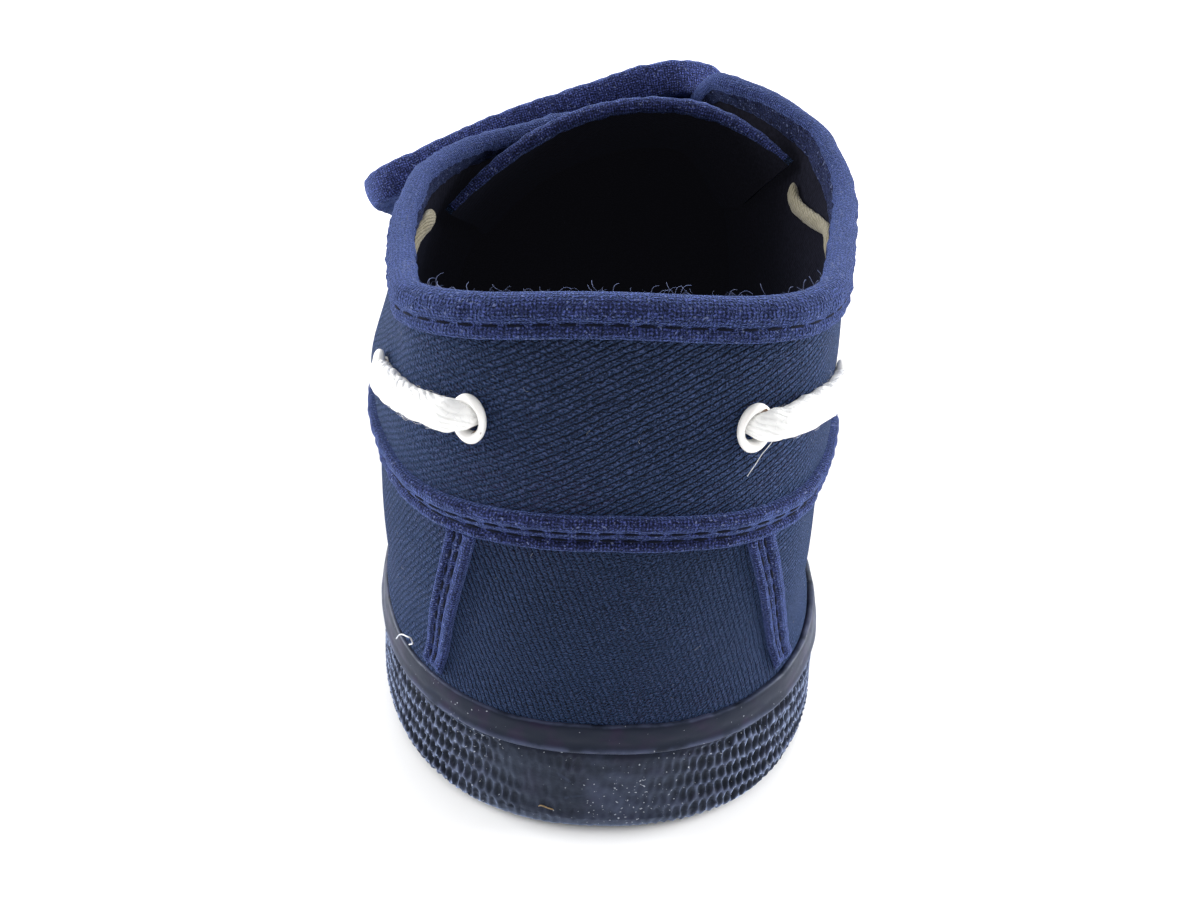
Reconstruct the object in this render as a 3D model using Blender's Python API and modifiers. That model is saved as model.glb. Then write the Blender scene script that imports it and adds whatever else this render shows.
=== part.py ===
"""Child's canvas boat shoe for the left foot, with a hook-and-loop strap.

Sizes in the tables are millimetres, measured from the back of the heel on the floor:
x towards the medial side, y towards the toe, z up.  The model itself is in metres, with
its origin on the floor under the middle of the heel.
"""
import math

import bmesh
import bpy
import numpy as np
from mathutils import Matrix, Vector

MM = 0.001
MEDIAL = 1
LATERAL = -1
SIDE_NAMES = {MEDIAL: "medial", LATERAL: "lateral"}

# Driving dimensions of the sole (mm)
SOLE_LENGTH = 224.0
HEEL_HALF_WIDTH = 30.2
HEEL_CAP = 36.0          # from the back of the heel to its widest place
HEEL_ROUNDNESS = 2.30    # exponent of the heel's superellipse
BALL_HALF_WIDTH = 41.4
TOE_START = 160.0        # where the rounding of the toe begins
TOE_ROUNDNESS = 2.25
ORIGIN_Y = 26.0          # middle of the heel, where the shoe's origin lies

# Driving dimensions of the upper (mm)
WALL = 1.4               # canvas and its lining
BAND_STEP = 0.5          # the collar band stands proud of the panels under it
GAP = 0.3                # between pieces that touch
FEATHER_INSET = 2.5      # from the sole's outline to the upper's lower edge
BINDING = 0.55           # thickness of the bias binding
FOLD_GAP = 0.47          # between cloth that bends sharply and its binding
TAPE_WIDTH = 4.2
TAPE_THICKNESS = 0.9
SOCK_THICKNESS = 2.6     # the insole

# The sole's outline between heel and toe: y, half width, and how far its middle is shifted
OUTLINE = [
    # y, half_width
    (HEEL_CAP, HEEL_HALF_WIDTH),
    (60.0, 29.9),
    (85.0, 29.6),
    (115.0, 34.2),
    (142.0, 40.0),
    (TOE_START, BALL_HALF_WIDTH),
]
MIDLINE = [
    # y, x
    (0.0, 0.0),
    (20.0, -0.4),
    (45.0, -1.6),
    (85.0, -3.4),
    (115.0, -2.6),
    (150.0, 0.8),
    (185.0, 5.0),
    (SOLE_LENGTH, 10.5),
]
RIM_HEIGHT = [
    # y, z of the rubber's upper edge
    (0.0, 17.3),
    (60.0, 17.0),
    (110.0, 16.0),
    (160.0, 15.8),
    (195.0, 18.6),
    (SOLE_LENGTH, 24.0),
]
TEXTURE_DROP = 4.0       # the smooth band between the rubber's edge and the knurled wall
ARCH = (72.0, 122.0, 1.4)        # from y, to y, lift of the bottom
TOE_SPRING = (162.0, 7.5)        # from y, lift at the toe

# The upper's top edge, from the back of the heel round the collar and along the throat.
# station: 0 heel back, 1 widest place of the heel, 2 ball, 3 toe tip
TOP_EDGE = {
    MEDIAL: [
        # station, x, y, z
        (0.00, 0.0, 5.0, 66.8),
        (0.20, 10.6, 5.6, 66.4),
        (0.33, 16.6, 7.6, 66.2),
        (0.45, 20.2, 11.4, 66.1),
        (0.60, 22.4, 18.4, 65.8),
        (0.80, 25.2, 29.5, 65.6),
        (0.95, 27.4, 38.5, 66.1),
        (1.05, 28.3, 46.0, 67.4),
        (1.15, 27.1, 54.0, 69.2),
        (1.23, 24.0, 60.8, 70.8),
        (1.30, 19.4, 66.4, 72.4),
        (1.36, 14.6, 71.2, 73.1),
        (1.42, 12.4, 79.0, 69.0),
        (1.52, 12.0, 93.0, 64.6),
        (1.67, 11.8, 116.0, 59.8),
        (2.20, 10.6, 119.2, 59.2),
        (3.00, 8.6, 120.4, 59.0),
    ],
    LATERAL: [
        (0.20, -10.6, 5.6, 66.2),
        (0.33, -16.6, 7.6, 65.6),
        (0.45, -20.2, 11.4, 65.0),
        (0.60, -22.4, 18.4, 64.5),
        (0.80, -24.8, 29.5, 64.3),
        (0.95, -25.7, 38.5, 64.7),
        (1.05, -25.5, 46.0, 65.4),
        (1.15, -24.0, 52.5, 65.7),
        (1.23, -20.2, 59.5, 66.6),
        (1.30, -13.8, 65.5, 67.4),
        (1.36, -5.6, 70.3, 68.1),
        (1.41, 0.2, 74.0, 67.8),
        (1.47, 2.0, 80.5, 65.4),
        (1.55, 3.2, 93.0, 62.8),
        (1.67, 5.2, 116.0, 59.6),
        (2.20, 6.4, 119.2, 59.1),
    ],
}
# How each section leaves the sole and reaches the top edge, as a cubic curve:
# rise and swell set its first handle; reach (a share of the way back to the sole's edge)
# and drop set its second.
SECTION = [
    # station, rise, swell on the medial side, swell on the lateral side, reach, drop
    (0.0, 17.0, 3.0, 3.0, 0.92, 17.0),
    (0.5, 16.0, 1.6, 3.2, 0.93, 17.0),
    (0.8, 15.0, 0.2, 3.3, 0.92, 16.0),
    (1.0, 15.0, 0.2, 3.4, 0.92, 15.0),
    (1.2, 19.0, 1.6, 4.0, 0.88, 12.0),
    (1.4, 22.0, 2.6, 3.8, 0.66, 7.0),
    (1.67, 24.0, 3.0, 3.0, 0.56, 5.0),
    (2.0, 23.0, 3.0, 3.0, 0.54, 9.0),
    (2.5, 25.0, 2.4, 2.4, 0.54, 12.0),
    (3.0, 27.0, 1.6, 1.6, 0.55, 14.0),
]
BAND_LINE = [
    # station, z of the seam between the collar band and the panels under it
    (0.0, 43.6),
    (0.5, 42.6),
    (1.0, 42.0),
    (1.67, 42.5),
    (2.3, 43.0),
    (3.0, 43.5),
]
RING_STATIONS = 66       # sections round the upper
SOLE_STATIONS = 56
ROWS_UNDER_BAND = 5
ROWS_IN_BAND = 3
ROWS_INSIDE = 7
BOUND_ROWS = (3.2, 1.6, 0.0)     # rows of points under the binding, by depth
APRON_STATION = 1.64     # where the collar band's tape gives way to the apron seam

# The tongue's upper surface in rows across the shoe
TONGUE = [
    # y, middle x, middle z, lateral x, lateral z, medial x, medial z
    (64.0, 6.5, 71.6, -20.4, 61.0, 23.4, 66.6),
    (70.0, 7.0, 67.4, -19.8, 57.4, 21.4, 61.0),
    (76.0, 7.5, 64.1, -19.2, 54.0, 19.8, 56.0),
    (82.0, 8.0, 61.9, -19.0, 50.2, 18.8, 53.6),
    (90.0, 8.0, 60.6, -18.6, 48.0, 18.4, 51.8),
    (100.0, 8.0, 58.8, -18.0, 47.4, 18.6, 50.6),
    (112.0, 8.6, 56.6, -16.5, 46.8, 18.8, 50.0),
    (124.0, 9.0, 54.4, -15.0, 47.0, 18.2, 50.0),
    (134.0, 9.0, 52.4, -13.0, 46.4, 17.4, 49.0),
]
TONGUE_THICKNESS = 1.8
TONGUE_CORNER = 6.0      # its back edge lies this much further back at the sides

# The strap's under surface, from its sewn medial end over the instep to its free end
STRAP = [
    # place, back x, y, z, front x, y, z
    (0.00, 24.0, 93.0, 46.9, 25.5, 114.0, 46.8),
    (0.08, 22.4, 90.0, 53.0, 22.5, 112.0, 52.6),
    (0.17, 20.3, 88.0, 60.2, 20.0, 110.0, 57.7),
    (0.25, 17.5, 85.0, 66.5, 16.8, 107.0, 62.3),
    (0.32, 13.8, 81.5, 70.8, 12.8, 104.0, 65.2),
    (0.38, 9.4, 79.0, 71.9, 8.4, 102.0, 65.8),
    (0.45, 4.2, 78.0, 70.7, 3.0, 101.0, 64.8),
    (0.53, -1.6, 77.4, 68.9, -3.2, 100.0, 63.2),
    (0.62, -8.2, 76.7, 66.7, -10.4, 99.0, 60.0),
    (0.71, -15.2, 75.6, 64.2, -17.4, 98.0, 56.2),
    (0.81, -22.4, 74.5, 61.6, -24.2, 97.0, 51.8),
    (0.90, -30.0, 73.5, 58.8, -30.6, 96.0, 48.4),
    (1.00, -38.8, 73.0, 54.8, -37.8, 94.0, 45.8),
]
STRAP_THICKNESS = 2.2
STRAP_STATIONS = 28
STRAP_CORNER = 0.06      # share of the strap's length over which its free end is rounded

# Eyelets and lace
EYELETS = [
    # name, station and z on the medial side, station and z on the lateral side
    ("rear", 0.254, 54.8, 0.270, 55.1),
    ("side", 0.66, 52.2, 0.66, 51.8),
]
EYELET_RADIUS = 2.95     # half its height
EYELET_BORE = 1.9
EYELET_WALL = 0.4
EYELET_HOLE = 2.65       # half the height of the hole in the canvas
EYELET_OVAL = 0.72       # its width over its height
LACE_RADIUS = 1.5
LACE_STAND_OFF = 2.2     # from the canvas to the middle of the lace outside it
LACE_CLEARANCE = 0.065   # in stations, from an eyelet's middle to the end of a run of lace
LACE_DEPTH = 3.4         # from the canvas to the middle of the lace inside it
LACE_HEEL_DEPTH = 4.6    # round the heel, where it passes the eyelets' washers
LACE_TAIL = [
    # station, z on the medial side, z on the lateral side
    (0.73, 56.4, 54.6),
    (0.86, 59.4, 57.4),
    (1.00, 60.4, 58.6),
    (1.12, 60.8, 58.8),
]
HEEL_SEAM = [
    # z, station of the tape's middle on the medial side, and on the lateral side
    (17.9, 0.475, 0.455),
    (30.0, 0.400, 0.382),
    (40.4, 0.326, 0.316),
]
SEAM_TAPE_WIDTH = 3.4

# Tread: grooves across the sole, on both sides of each flat resting place
GROOVE_PITCH = 6.0
GROOVE_WIDTH = 2.2
GROOVE_DEPTH = 1.8
GROOVE_INSET = 7.0
HEEL_GROOVES = (11.0, 41.0)
FOREFOOT_GROOVES = (131.0, 197.0)


class Curve:
    """Smooth curve through rows of (x, value, ...), which never overshoots a row."""

    def __init__(self, rows):
        table = np.asarray(rows, dtype=float)
        self.knots = table[:, 0]
        self.values = table[:, 1:]
        self.widths = np.diff(self.knots)
        climbs = np.diff(self.values, axis=0) / self.widths[:, None]
        self.slopes = np.zeros_like(self.values)
        self.slopes[0] = climbs[0]
        self.slopes[-1] = climbs[-1]
        for i in range(1, len(self.knots) - 1):
            before, after = climbs[i - 1], climbs[i]
            near = self.widths[i - 1] + 2 * self.widths[i]
            far = 2 * self.widths[i - 1] + self.widths[i]
            same_way = before * after > 0
            blend = near / np.where(same_way, before, 1) + far / np.where(same_way, after, 1)
            self.slopes[i] = np.where(same_way, (near + far) / blend, 0.0)

    def __call__(self, x):
        x = min(max(x, self.knots[0]), self.knots[-1])
        last = len(self.knots) - 2
        i = min(max(int(self.knots.searchsorted(x)) - 1, 0), last)
        width = self.widths[i]
        t = (x - self.knots[i]) / width
        result = ((2 * t**3 - 3 * t**2 + 1) * self.values[i]
                  + (t**3 - 2 * t**2 + t) * width * self.slopes[i]
                  + (3 * t**2 - 2 * t**3) * self.values[i + 1]
                  + (t**3 - t**2) * width * self.slopes[i + 1])
        return result if len(result) > 1 else float(result[0])


def ring_table(per_side):
    """Rows for a closed ring: medial stations 0 to 3, then lateral stations back to 0."""
    rows = [list(row) for row in per_side[MEDIAL]]
    rows += [[6.0 - row[0]] + list(row[1:]) for row in reversed(per_side[LATERAL])]
    first = [6.0] + rows[0][1:]
    ahead = [6.0 + rows[1][0]] + rows[1][1:]
    behind = [rows[-1][0] - 6.0] + rows[-1][1:]
    return [behind] + rows + [first, ahead]


outline_width = Curve(OUTLINE)
midline_x = Curve(MIDLINE)
rim_z = Curve(RIM_HEIGHT)
top_edge = Curve(ring_table(TOP_EDGE))
section_handles = Curve(SECTION)
band_height = Curve(BAND_LINE)
seam_stations = Curve(HEEL_SEAM)
tongue_rows = Curve(TONGUE)
strap_rows = Curve(STRAP)


def split(u):
    """Ring parameter u (0 to 6) as its side and its station (0 to 3)."""
    u = u % 6.0
    return (MEDIAL, u) if u <= 3.0 else (LATERAL, 6.0 - u)


def half_width(y):
    if y <= HEEL_CAP:
        share = max(1 - y / HEEL_CAP, 0.0)
        return HEEL_HALF_WIDTH * max(1 - share**HEEL_ROUNDNESS, 0.0)**(1 / HEEL_ROUNDNESS)
    if y < TOE_START:
        return outline_width(y)
    share = min((y - TOE_START) / (SOLE_LENGTH - TOE_START), 1.0)
    return BALL_HALF_WIDTH * max(1 - share**TOE_ROUNDNESS, 0.0)**(1 / TOE_ROUNDNESS)


def station_y(station):
    """How far forward of the heel's back a station of the outline lies."""
    if station <= 1.0:
        return HEEL_CAP * (1 - math.cos(station * math.pi / 2)**(2 / HEEL_ROUNDNESS))
    if station <= 2.0:
        return HEEL_CAP + (TOE_START - HEEL_CAP) * (station - 1)
    turn = (station - 2) * math.pi / 2
    return TOE_START + (SOLE_LENGTH - TOE_START) * math.sin(turn)**(2 / TOE_ROUNDNESS)


def outline(u):
    side, station = split(u)
    y = station_y(station)
    return np.array([midline_x(y) + side * half_width(y), y])


def outline_inset(u, inset):
    """Point of the outline moved inwards, square to it."""
    step = 0.004
    along = outline(u + step) - outline(u - step)
    outward = np.array([along[1], -along[0]]) / np.hypot(*along)
    return outline(u) - outward * inset


def line_z(y):
    return rim_z(y) - TEXTURE_DROP


def bottom_z(y):
    start, end, lift = ARCH
    z = 0.0
    if start < y < end:
        z = lift * math.sin(math.pi * (y - start) / (end - start))**2
    start, lift = TOE_SPRING
    if y > start:
        z = lift * ((y - start) / (SOLE_LENGTH - start))**2
    return z


def section_point(u, t):
    """The last's surface: ring parameter u, and t from the feather edge (0) to the top (1)."""
    side, station = split(u)
    rise, medial_swell, lateral_swell, reach, drop = section_handles(station)
    swell = medial_swell if side == MEDIAL else lateral_swell
    edge = outline_inset(u, FEATHER_INSET)
    out = outline_inset(u, 0.0) - edge
    out /= np.hypot(*out)
    foot = np.array([edge[0], edge[1], line_z(edge[1]) + GAP])
    top = top_edge(u % 6.0)
    first = foot + np.array([out[0] * swell, out[1] * swell, rise])
    second = np.array([top[0] + (foot[0] - top[0]) * reach,
                       top[1] + (foot[1] - top[1]) * reach, top[2] - drop])
    s = 1 - t
    return s**3 * foot + 3 * s**2 * t * first + 3 * s * t**2 * second + t**3 * top


def surface_normal(u, t):
    step = 0.01
    low, high = max(t - step, 0.0), min(t + step, 1.0)
    across = section_point(u + step, t) - section_point(u - step, t)
    up = section_point(u, high) - section_point(u, low)
    normal = np.cross(across, up)
    return normal / np.linalg.norm(normal)


def skin(u, t, offset):
    return section_point(u, t) + surface_normal(u, t) * offset


def t_at_height(u, z):
    low, high = 0.0, 1.0
    for _ in range(24):
        middle = (low + high) / 2
        if section_point(u, middle)[2] < z:
            low = middle
        else:
            high = middle
    return (low + high) / 2


def across_edge(u):
    """Direction in the canvas square to its top edge, and how squarely the section meets it."""
    step = 0.004
    along = section_point(u + step, 1.0) - section_point(u - step, 1.0)
    up = section_point(u, 1.0) - section_point(u, 0.97)
    up /= np.linalg.norm(up)
    square = np.cross(along, surface_normal(u, 1.0))
    square /= np.linalg.norm(square)
    if np.dot(square, up) < 0:
        square = -square
    return square, max(float(np.dot(square, up)), 0.4)


def t_at_depth(u, depth):
    """Place on the section that lies depth below the top edge, measured square to it."""
    samples = np.linspace(1.0, 0.5, 26)
    points = [section_point(u, t) for t in samples]
    lengths = np.cumsum([0.0] + [np.linalg.norm(b - a) for a, b in zip(points, points[1:])])
    return float(np.interp(depth / across_edge(u)[1], lengths, samples))


def band_t(u):
    _, station = split(u)
    return t_at_height(u, band_height(station))


def edge_point(u, depth, offset):
    """Point by the top edge: depth below it (above it if negative), offset outwards."""
    if depth >= 0:
        return skin(u, t_at_depth(u, depth), offset)
    return skin(u, 1.0, offset) - across_edge(u)[0] * depth


def ring_parameters(count):
    """Ring parameters, closer together round the heel and the corners of the collar."""
    knots = [(0.0, 0.0), (0.22, 0.75), (0.5, 1.6), (1.0, 3.0)]
    half = [float(np.interp(i / (count // 2), [k[0] for k in knots], [k[1] for k in knots]))
            for i in range(count // 2 + 1)]
    return half + [6.0 - u for u in reversed(half[1:-1])]


def mesh_object(name, collection, material, vertices, faces):
    mesh = bpy.data.meshes.new(name)
    places = [((x) * MM, (y - ORIGIN_Y) * MM, z * MM) for x, y, z in vertices]
    mesh.from_pydata(places, [], faces)
    mesh.update()
    work = bmesh.new()
    work.from_mesh(mesh)
    bmesh.ops.recalc_face_normals(work, faces=work.faces)
    work.to_mesh(mesh)
    work.free()
    mesh.materials.append(material)
    mesh.shade_smooth()
    mesh.set_sharp_from_angle(angle=math.radians(40))
    obj = bpy.data.objects.new(name, mesh)
    collection.objects.link(obj)
    return obj


def sweep(name, collection, material, sections, closed):
    """Join closed loops of points, one after another, as a ring or as a bar with end caps."""
    size = len(sections[0])
    vertices = [tuple(point) for section in sections for point in section]
    faces = []
    for i in range(len(sections) if closed else len(sections) - 1):
        here, ahead = i * size, (i + 1) % len(sections) * size
        for j in range(size):
            k = (j + 1) % size
            faces.append((here + j, here + k, ahead + k, ahead + j))
    if not closed:
        faces.append(tuple(range(size)))
        faces.append(tuple((len(sections) - 1) * size + j for j in range(size)))
    return mesh_object(name, collection, material, vertices, faces)


def material(name, colour, roughness, metallic=0.0):
    made = bpy.data.materials.new(name)
    made.use_nodes = True
    shader = made.node_tree.nodes["Principled BSDF"]
    shader.inputs["Base Color"].default_value = (*colour, 1.0)
    shader.inputs["Roughness"].default_value = roughness
    shader.inputs["Metallic"].default_value = metallic
    made.diffuse_color = (*colour, 1.0)
    return made


def place(point):
    """A point of the tables, in the model's metres."""
    x, y, z = point
    return Vector((x * MM, (y - ORIGIN_Y) * MM, z * MM))


def slab(name, collection, finish, rings):
    """A solid between its lowest and highest ring, which are closed straight across."""
    size = len(rings[0])
    half = size // 2
    vertices = [tuple(point) for ring in rings for point in ring]
    faces = []
    for level in range(len(rings) - 1):
        low, high = level * size, (level + 1) * size
        for i in range(size):
            k = (i + 1) % size
            faces.append((low + i, low + k, high + k, high + i))
    for base in (0, (len(rings) - 1) * size):
        faces.append((base, base + 1, base + size - 1))
        for i in range(1, half - 1):
            faces.append((base + i, base + i + 1, base + size - i - 1, base + size - i))
        faces.append((base + half - 1, base + half, base + half + 1))
    return mesh_object(name, collection, finish, vertices, faces)


def outline_ring(count, inset, height):
    """Points round the outline, moved inwards by inset, at a height that depends on y."""
    ring = []
    for u in ring_parameters(count):
        x, y = outline_inset(u, inset)
        ring.append((x, y, height(outline(u)[1])))
    return ring


def cube(name, collection, low, high):
    """A box between two corners, as a cutter."""
    bpy.ops.mesh.primitive_cube_add(size=1.0)
    box = bpy.context.object
    box.name = name
    middle = (place(low) + place(high)) / 2
    size = place(high) - place(low)
    box.data.transform(Matrix.Translation(middle) @ Matrix.Diagonal((*size, 1.0)))
    return into_cutters(box, collection)


def into_cutters(obj, collection):
    for other in list(obj.users_collection):
        other.objects.unlink(obj)
    collection.objects.link(obj)
    obj.hide_render = True
    obj.display_type = 'WIRE'
    return obj


def cut(obj, cutter):
    modifier = obj.modifiers.new(cutter.name, 'BOOLEAN')
    modifier.operation = 'DIFFERENCE'
    modifier.object = cutter


def join_cutters(cutters):
    """One object of several cutters that don't meet."""
    merged = bmesh.new()
    for cutter in cutters:
        merged.from_mesh(cutter.data)
    first = cutters[0]
    merged.to_mesh(first.data)
    merged.free()
    for cutter in cutters[1:]:
        bpy.data.objects.remove(cutter, do_unlink=True)
    return first


def build_outsole(collection, cutters, rubber):
    rows = [
        # inset, share of the way up from the bottom to the knurled wall's top, lift in mm
        (0.9, 0.0, 0.0),
        (0.0, 0.0, 0.9),
        (-0.3, 0.0, 2.4),
        (-0.2, 0.5, 0.0),
        (0.1, 1.0, -0.5),
        (0.6, 1.0, 0.0),
    ]
    rings = []
    for inset, share, lift in rows:
        rings.append(outline_ring(
            SOLE_STATIONS, inset, lambda y, s=share, d=lift: bottom_z(y) * (1 - s) + line_z(y) * s + d))
    sole = slab("outsole", collection, rubber, rings)
    grooves = []
    for first, last in (HEEL_GROOVES, FOREFOOT_GROOVES):
        for i in range(int((last - first) / GROOVE_PITCH) + 1):
            y = first + i * GROOVE_PITCH
            reach = min(half_width(y - GROOVE_WIDTH), half_width(y + GROOVE_WIDTH)) - GROOVE_INSET
            middle = midline_x(y)
            top = bottom_z(y) + GROOVE_DEPTH
            grooves.append(cube(f"groove_{len(grooves)}", cutters,
                                (middle - reach, y - GROOVE_WIDTH / 2, -3.0),
                                (middle + reach, y + GROOVE_WIDTH / 2, top)))
    cut(sole, join_cutters(grooves))
    return sole


def build_foxing(collection, rubber):
    """The smooth band, with a bead along its lower edge."""
    profile = [
        # inset, height over the knurled wall
        (2.1, 0.3),
        (0.1, 0.3),
        (-0.3, 0.6),
        (-0.3, 1.2),
        (0.0, 1.6),
        (0.1, 2.9),
        (0.4, 3.7),
        (0.8, 4.0),
        (1.3, 3.8),
    ]
    sections = []
    for u in ring_parameters(SOLE_STATIONS):
        height = line_z(outline(u)[1])
        sections.append([(*outline_inset(u, inset), height + rise) for inset, rise in profile])
    return sweep("foxing_band", collection, rubber, sections, closed=True)


def build_insole(collection, finish):
    inset = FEATHER_INSET + WALL + 3 * GAP
    rows = [(inset + 0.5, 0.0), (inset, 0.5), (inset, SOCK_THICKNESS - 0.5),
            (inset + 0.6, SOCK_THICKNESS)]
    rings = [outline_ring(56, i, lambda y, d=rise: line_z(y) + GAP + d) for i, rise in rows]
    return slab("insole", collection, finish, rings)


def build_upper(collection, cutters, canvas):
    sections = []
    for u in ring_parameters(RING_STATIONS):
        seam = band_t(u)
        edge_rows = [t_at_depth(u, depth) for depth in BOUND_ROWS]
        under = list(np.linspace(0.0, seam, ROWS_UNDER_BAND + 1))
        band = list(np.linspace(seam + 0.012, edge_rows[0], ROWS_IN_BAND)) + edge_rows[1:]
        inner = list(np.linspace(0.0, edge_rows[0], ROWS_INSIDE)) + edge_rows[1:]
        sections.append([skin(u, t, 0.0) for t in under] + [skin(u, t, BAND_STEP) for t in band]
                        + [skin(u, t, -WALL) for t in reversed(inner)])
    upper = sweep("upper", collection, canvas, sections, closed=True)
    holes = []
    for name, side in every_eyelet():
        bpy.ops.mesh.primitive_cylinder_add(vertices=16, radius=EYELET_HOLE * MM, depth=8 * MM)
        hole = bpy.context.object
        hole.name = f"hole_{name}"
        hole.data.transform(eyelet_matrix(name, side))
        holes.append(into_cutters(hole, cutters))
    cut(upper, join_cutters(holes))
    return upper


def on_band(u, z, offset):
    """Point over the collar band at a height, offset outwards from the canvas."""
    return skin(u, t_at_height(u, z), offset)


def on_side(side, station):
    return station if side == MEDIAL else 6.0 - station


def every_eyelet():
    return [(row[0], side) for row in EYELETS for side in (MEDIAL, LATERAL)]


def eyelet_place(name, side):
    row = next(row for row in EYELETS if row[0] == name)
    station, z = row[1:3] if side == MEDIAL else row[3:5]
    return on_side(side, station), z


def eyelet_matrix(name, side):
    """Frame with its origin on the canvas and Z pointing out of the shoe."""
    u, z = eyelet_place(name, side)
    normal = Vector(surface_normal(u, t_at_height(u, z)))
    turn = normal.to_track_quat('Z', 'Y').to_matrix().to_4x4()
    oval = Matrix.Diagonal((EYELET_OVAL, 1.0, 1.0, 1.0))
    return Matrix.Translation(place(on_band(u, z, BAND_STEP))) @ turn @ oval


def build_eyelets(collection, metal):
    """Rolled eyelets: a domed flange outside, a barrel through the canvas, a washer inside."""
    inside = -(WALL + BAND_STEP)
    barrel = EYELET_BORE + EYELET_WALL
    profile = [
        # radius, height over the band
        (barrel, 0.45),
        (barrel, inside - 0.6),
        (EYELET_RADIUS - 0.2, inside - 0.6),
        (EYELET_RADIUS - 0.2, inside - 1.0),
        (EYELET_BORE, inside - 1.0),
        (EYELET_BORE, 0.6),
        (EYELET_BORE + 0.35, 1.0),
        (EYELET_RADIUS - 0.3, 0.95),
        (EYELET_RADIUS, 0.45),
    ]
    for name, side in every_eyelet():
        mesh = bpy.data.meshes.new(f"eyelet_{name}_{SIDE_NAMES[side]}")
        edges = [(i, (i + 1) % len(profile)) for i in range(len(profile))]
        mesh.from_pydata([(r * MM, 0.0, z * MM) for r, z in profile], edges, [])
        mesh.materials.append(metal)
        eyelet = bpy.data.objects.new(mesh.name, mesh)
        collection.objects.link(eyelet)
        turn = eyelet.modifiers.new("turned", 'SCREW')
        turn.axis = 'Z'
        turn.angle = 2 * math.pi
        turn.steps = turn.render_steps = 12
        turn.use_merge_vertices = True
        turn.merge_threshold = 1e-6
        turn.use_smooth_shade = False
        eyelet.matrix_world = eyelet_matrix(name, side)


def tube(name, collection, finish, points, radius):
    curve = bpy.data.curves.new(name, 'CURVE')
    curve.dimensions = '3D'
    curve.bevel_depth = radius * MM
    curve.bevel_resolution = 2
    curve.use_fill_caps = True
    spline = curve.splines.new('POLY')
    spline.points.add(len(points) - 1)
    for target, point in zip(spline.points, points):
        target.co = (*place(point), 1.0)
    curve.materials.append(finish)
    obj = bpy.data.objects.new(name, curve)
    collection.objects.link(obj)
    return obj


def build_lace(collection, cord):
    """The lace's straight runs: outside between the eyelets, inside round the heel and forward."""
    for side in (MEDIAL, LATERAL):
        rear, rear_z = eyelet_place("rear", side)
        front, front_z = eyelet_place("side", side)
        rear_end = rear + side * LACE_CLEARANCE
        front_end = front - side * LACE_CLEARANCE
        steps = 8
        outside = [on_band(rear_end + (front_end - rear_end) * i / steps,
                           rear_z + (front_z - rear_z) * i / steps, LACE_STAND_OFF)
                   for i in range(steps + 1)]
        tube(f"lace_outside_{SIDE_NAMES[side]}", collection, cord, outside, LACE_RADIUS)
        height = Curve([(row[0], row[1] if side == MEDIAL else row[2]) for row in LACE_TAIL])
        first, last = LACE_TAIL[0][0], LACE_TAIL[-1][0]
        inside = []
        for i in range(steps + 1):
            station = first + (last - first) * i / steps
            inside.append(on_band(on_side(side, station), height(station), -LACE_DEPTH))
        tube(f"lace_inside_{SIDE_NAMES[side]}", collection, cord, inside, LACE_RADIUS)
    medial_u, z = eyelet_place("rear", MEDIAL)
    steps = 10
    heel = [on_band(medial_u * (1 - 2 * i / steps), z, -LACE_HEEL_DEPTH)
            for i in range(steps + 1)]
    tube("lace_inside_heel", collection, cord, heel, LACE_RADIUS)


def band_tape_sections(us, width):
    """Sections of the tape over the collar band's lower edge, which steps with the canvas."""
    sections = []
    low_in, high_in = GAP + 0.05, BAND_STEP + GAP
    for u in us:
        seam = band_t(u)
        span = np.linalg.norm(section_point(u, seam + 0.05) - section_point(u, seam - 0.05))
        half = width / 2 * 0.1 / span
        places = [(-half, low_in), (-0.006, low_in), (0.004, high_in), (half, high_in)]
        inner = [skin(u, seam + dt, offset) for dt, offset in places]
        outer = [skin(u, seam + dt, high_in + TAPE_THICKNESS * (0.5 if abs(dt) == half else 1))
                 for dt in (half, 0.5 * half, -0.5 * half, -half)]
        sections.append(inner + outer)
    return sections


def build_tapes(collection, tape):
    ring = ring_parameters(RING_STATIONS)
    around = [-APRON_STATION] + [u - 6 for u in ring if u > 6 - APRON_STATION + 0.01]
    around += [u for u in ring if u < APRON_STATION - 0.01] + [APRON_STATION]
    sweep("saddle_tape", collection, tape, band_tape_sections(around, TAPE_WIDTH), closed=False)
    start = APRON_STATION + 0.012
    apron = [start] + [u for u in ring if start + 0.01 < u < 5.99 - start] + [6 - start]
    sweep("apron_seam_tape", collection, tape, band_tape_sections(apron, TAPE_WIDTH),
          closed=False)
    for side in (MEDIAL, LATERAL):
        sections = []
        steps = 8
        for i in range(steps + 1):
            z = HEEL_SEAM[0][0] + (HEEL_SEAM[-1][0] - HEEL_SEAM[0][0]) * i / steps
            medial_station, lateral_station = seam_stations(z)
            u = on_side(side, medial_station if side == MEDIAL else lateral_station)
            span = np.linalg.norm(on_band(u + 0.02, z, 0) - on_band(u - 0.02, z, 0)) / 0.04
            half = SEAM_TAPE_WIDTH / 2 / span
            shares = (-1, -0.4, 0.4, 1)
            inner = [on_band(u + half * k, z, GAP) for k in shares]
            outer = [on_band(u + half * k, z, GAP + TAPE_THICKNESS * (1 if abs(k) < 1 else 0.6))
                     for k in reversed(shares)]
            sections.append(inner + outer)
        sweep(f"heel_seam_tape_{SIDE_NAMES[side]}", collection, tape, sections, closed=False)


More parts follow.
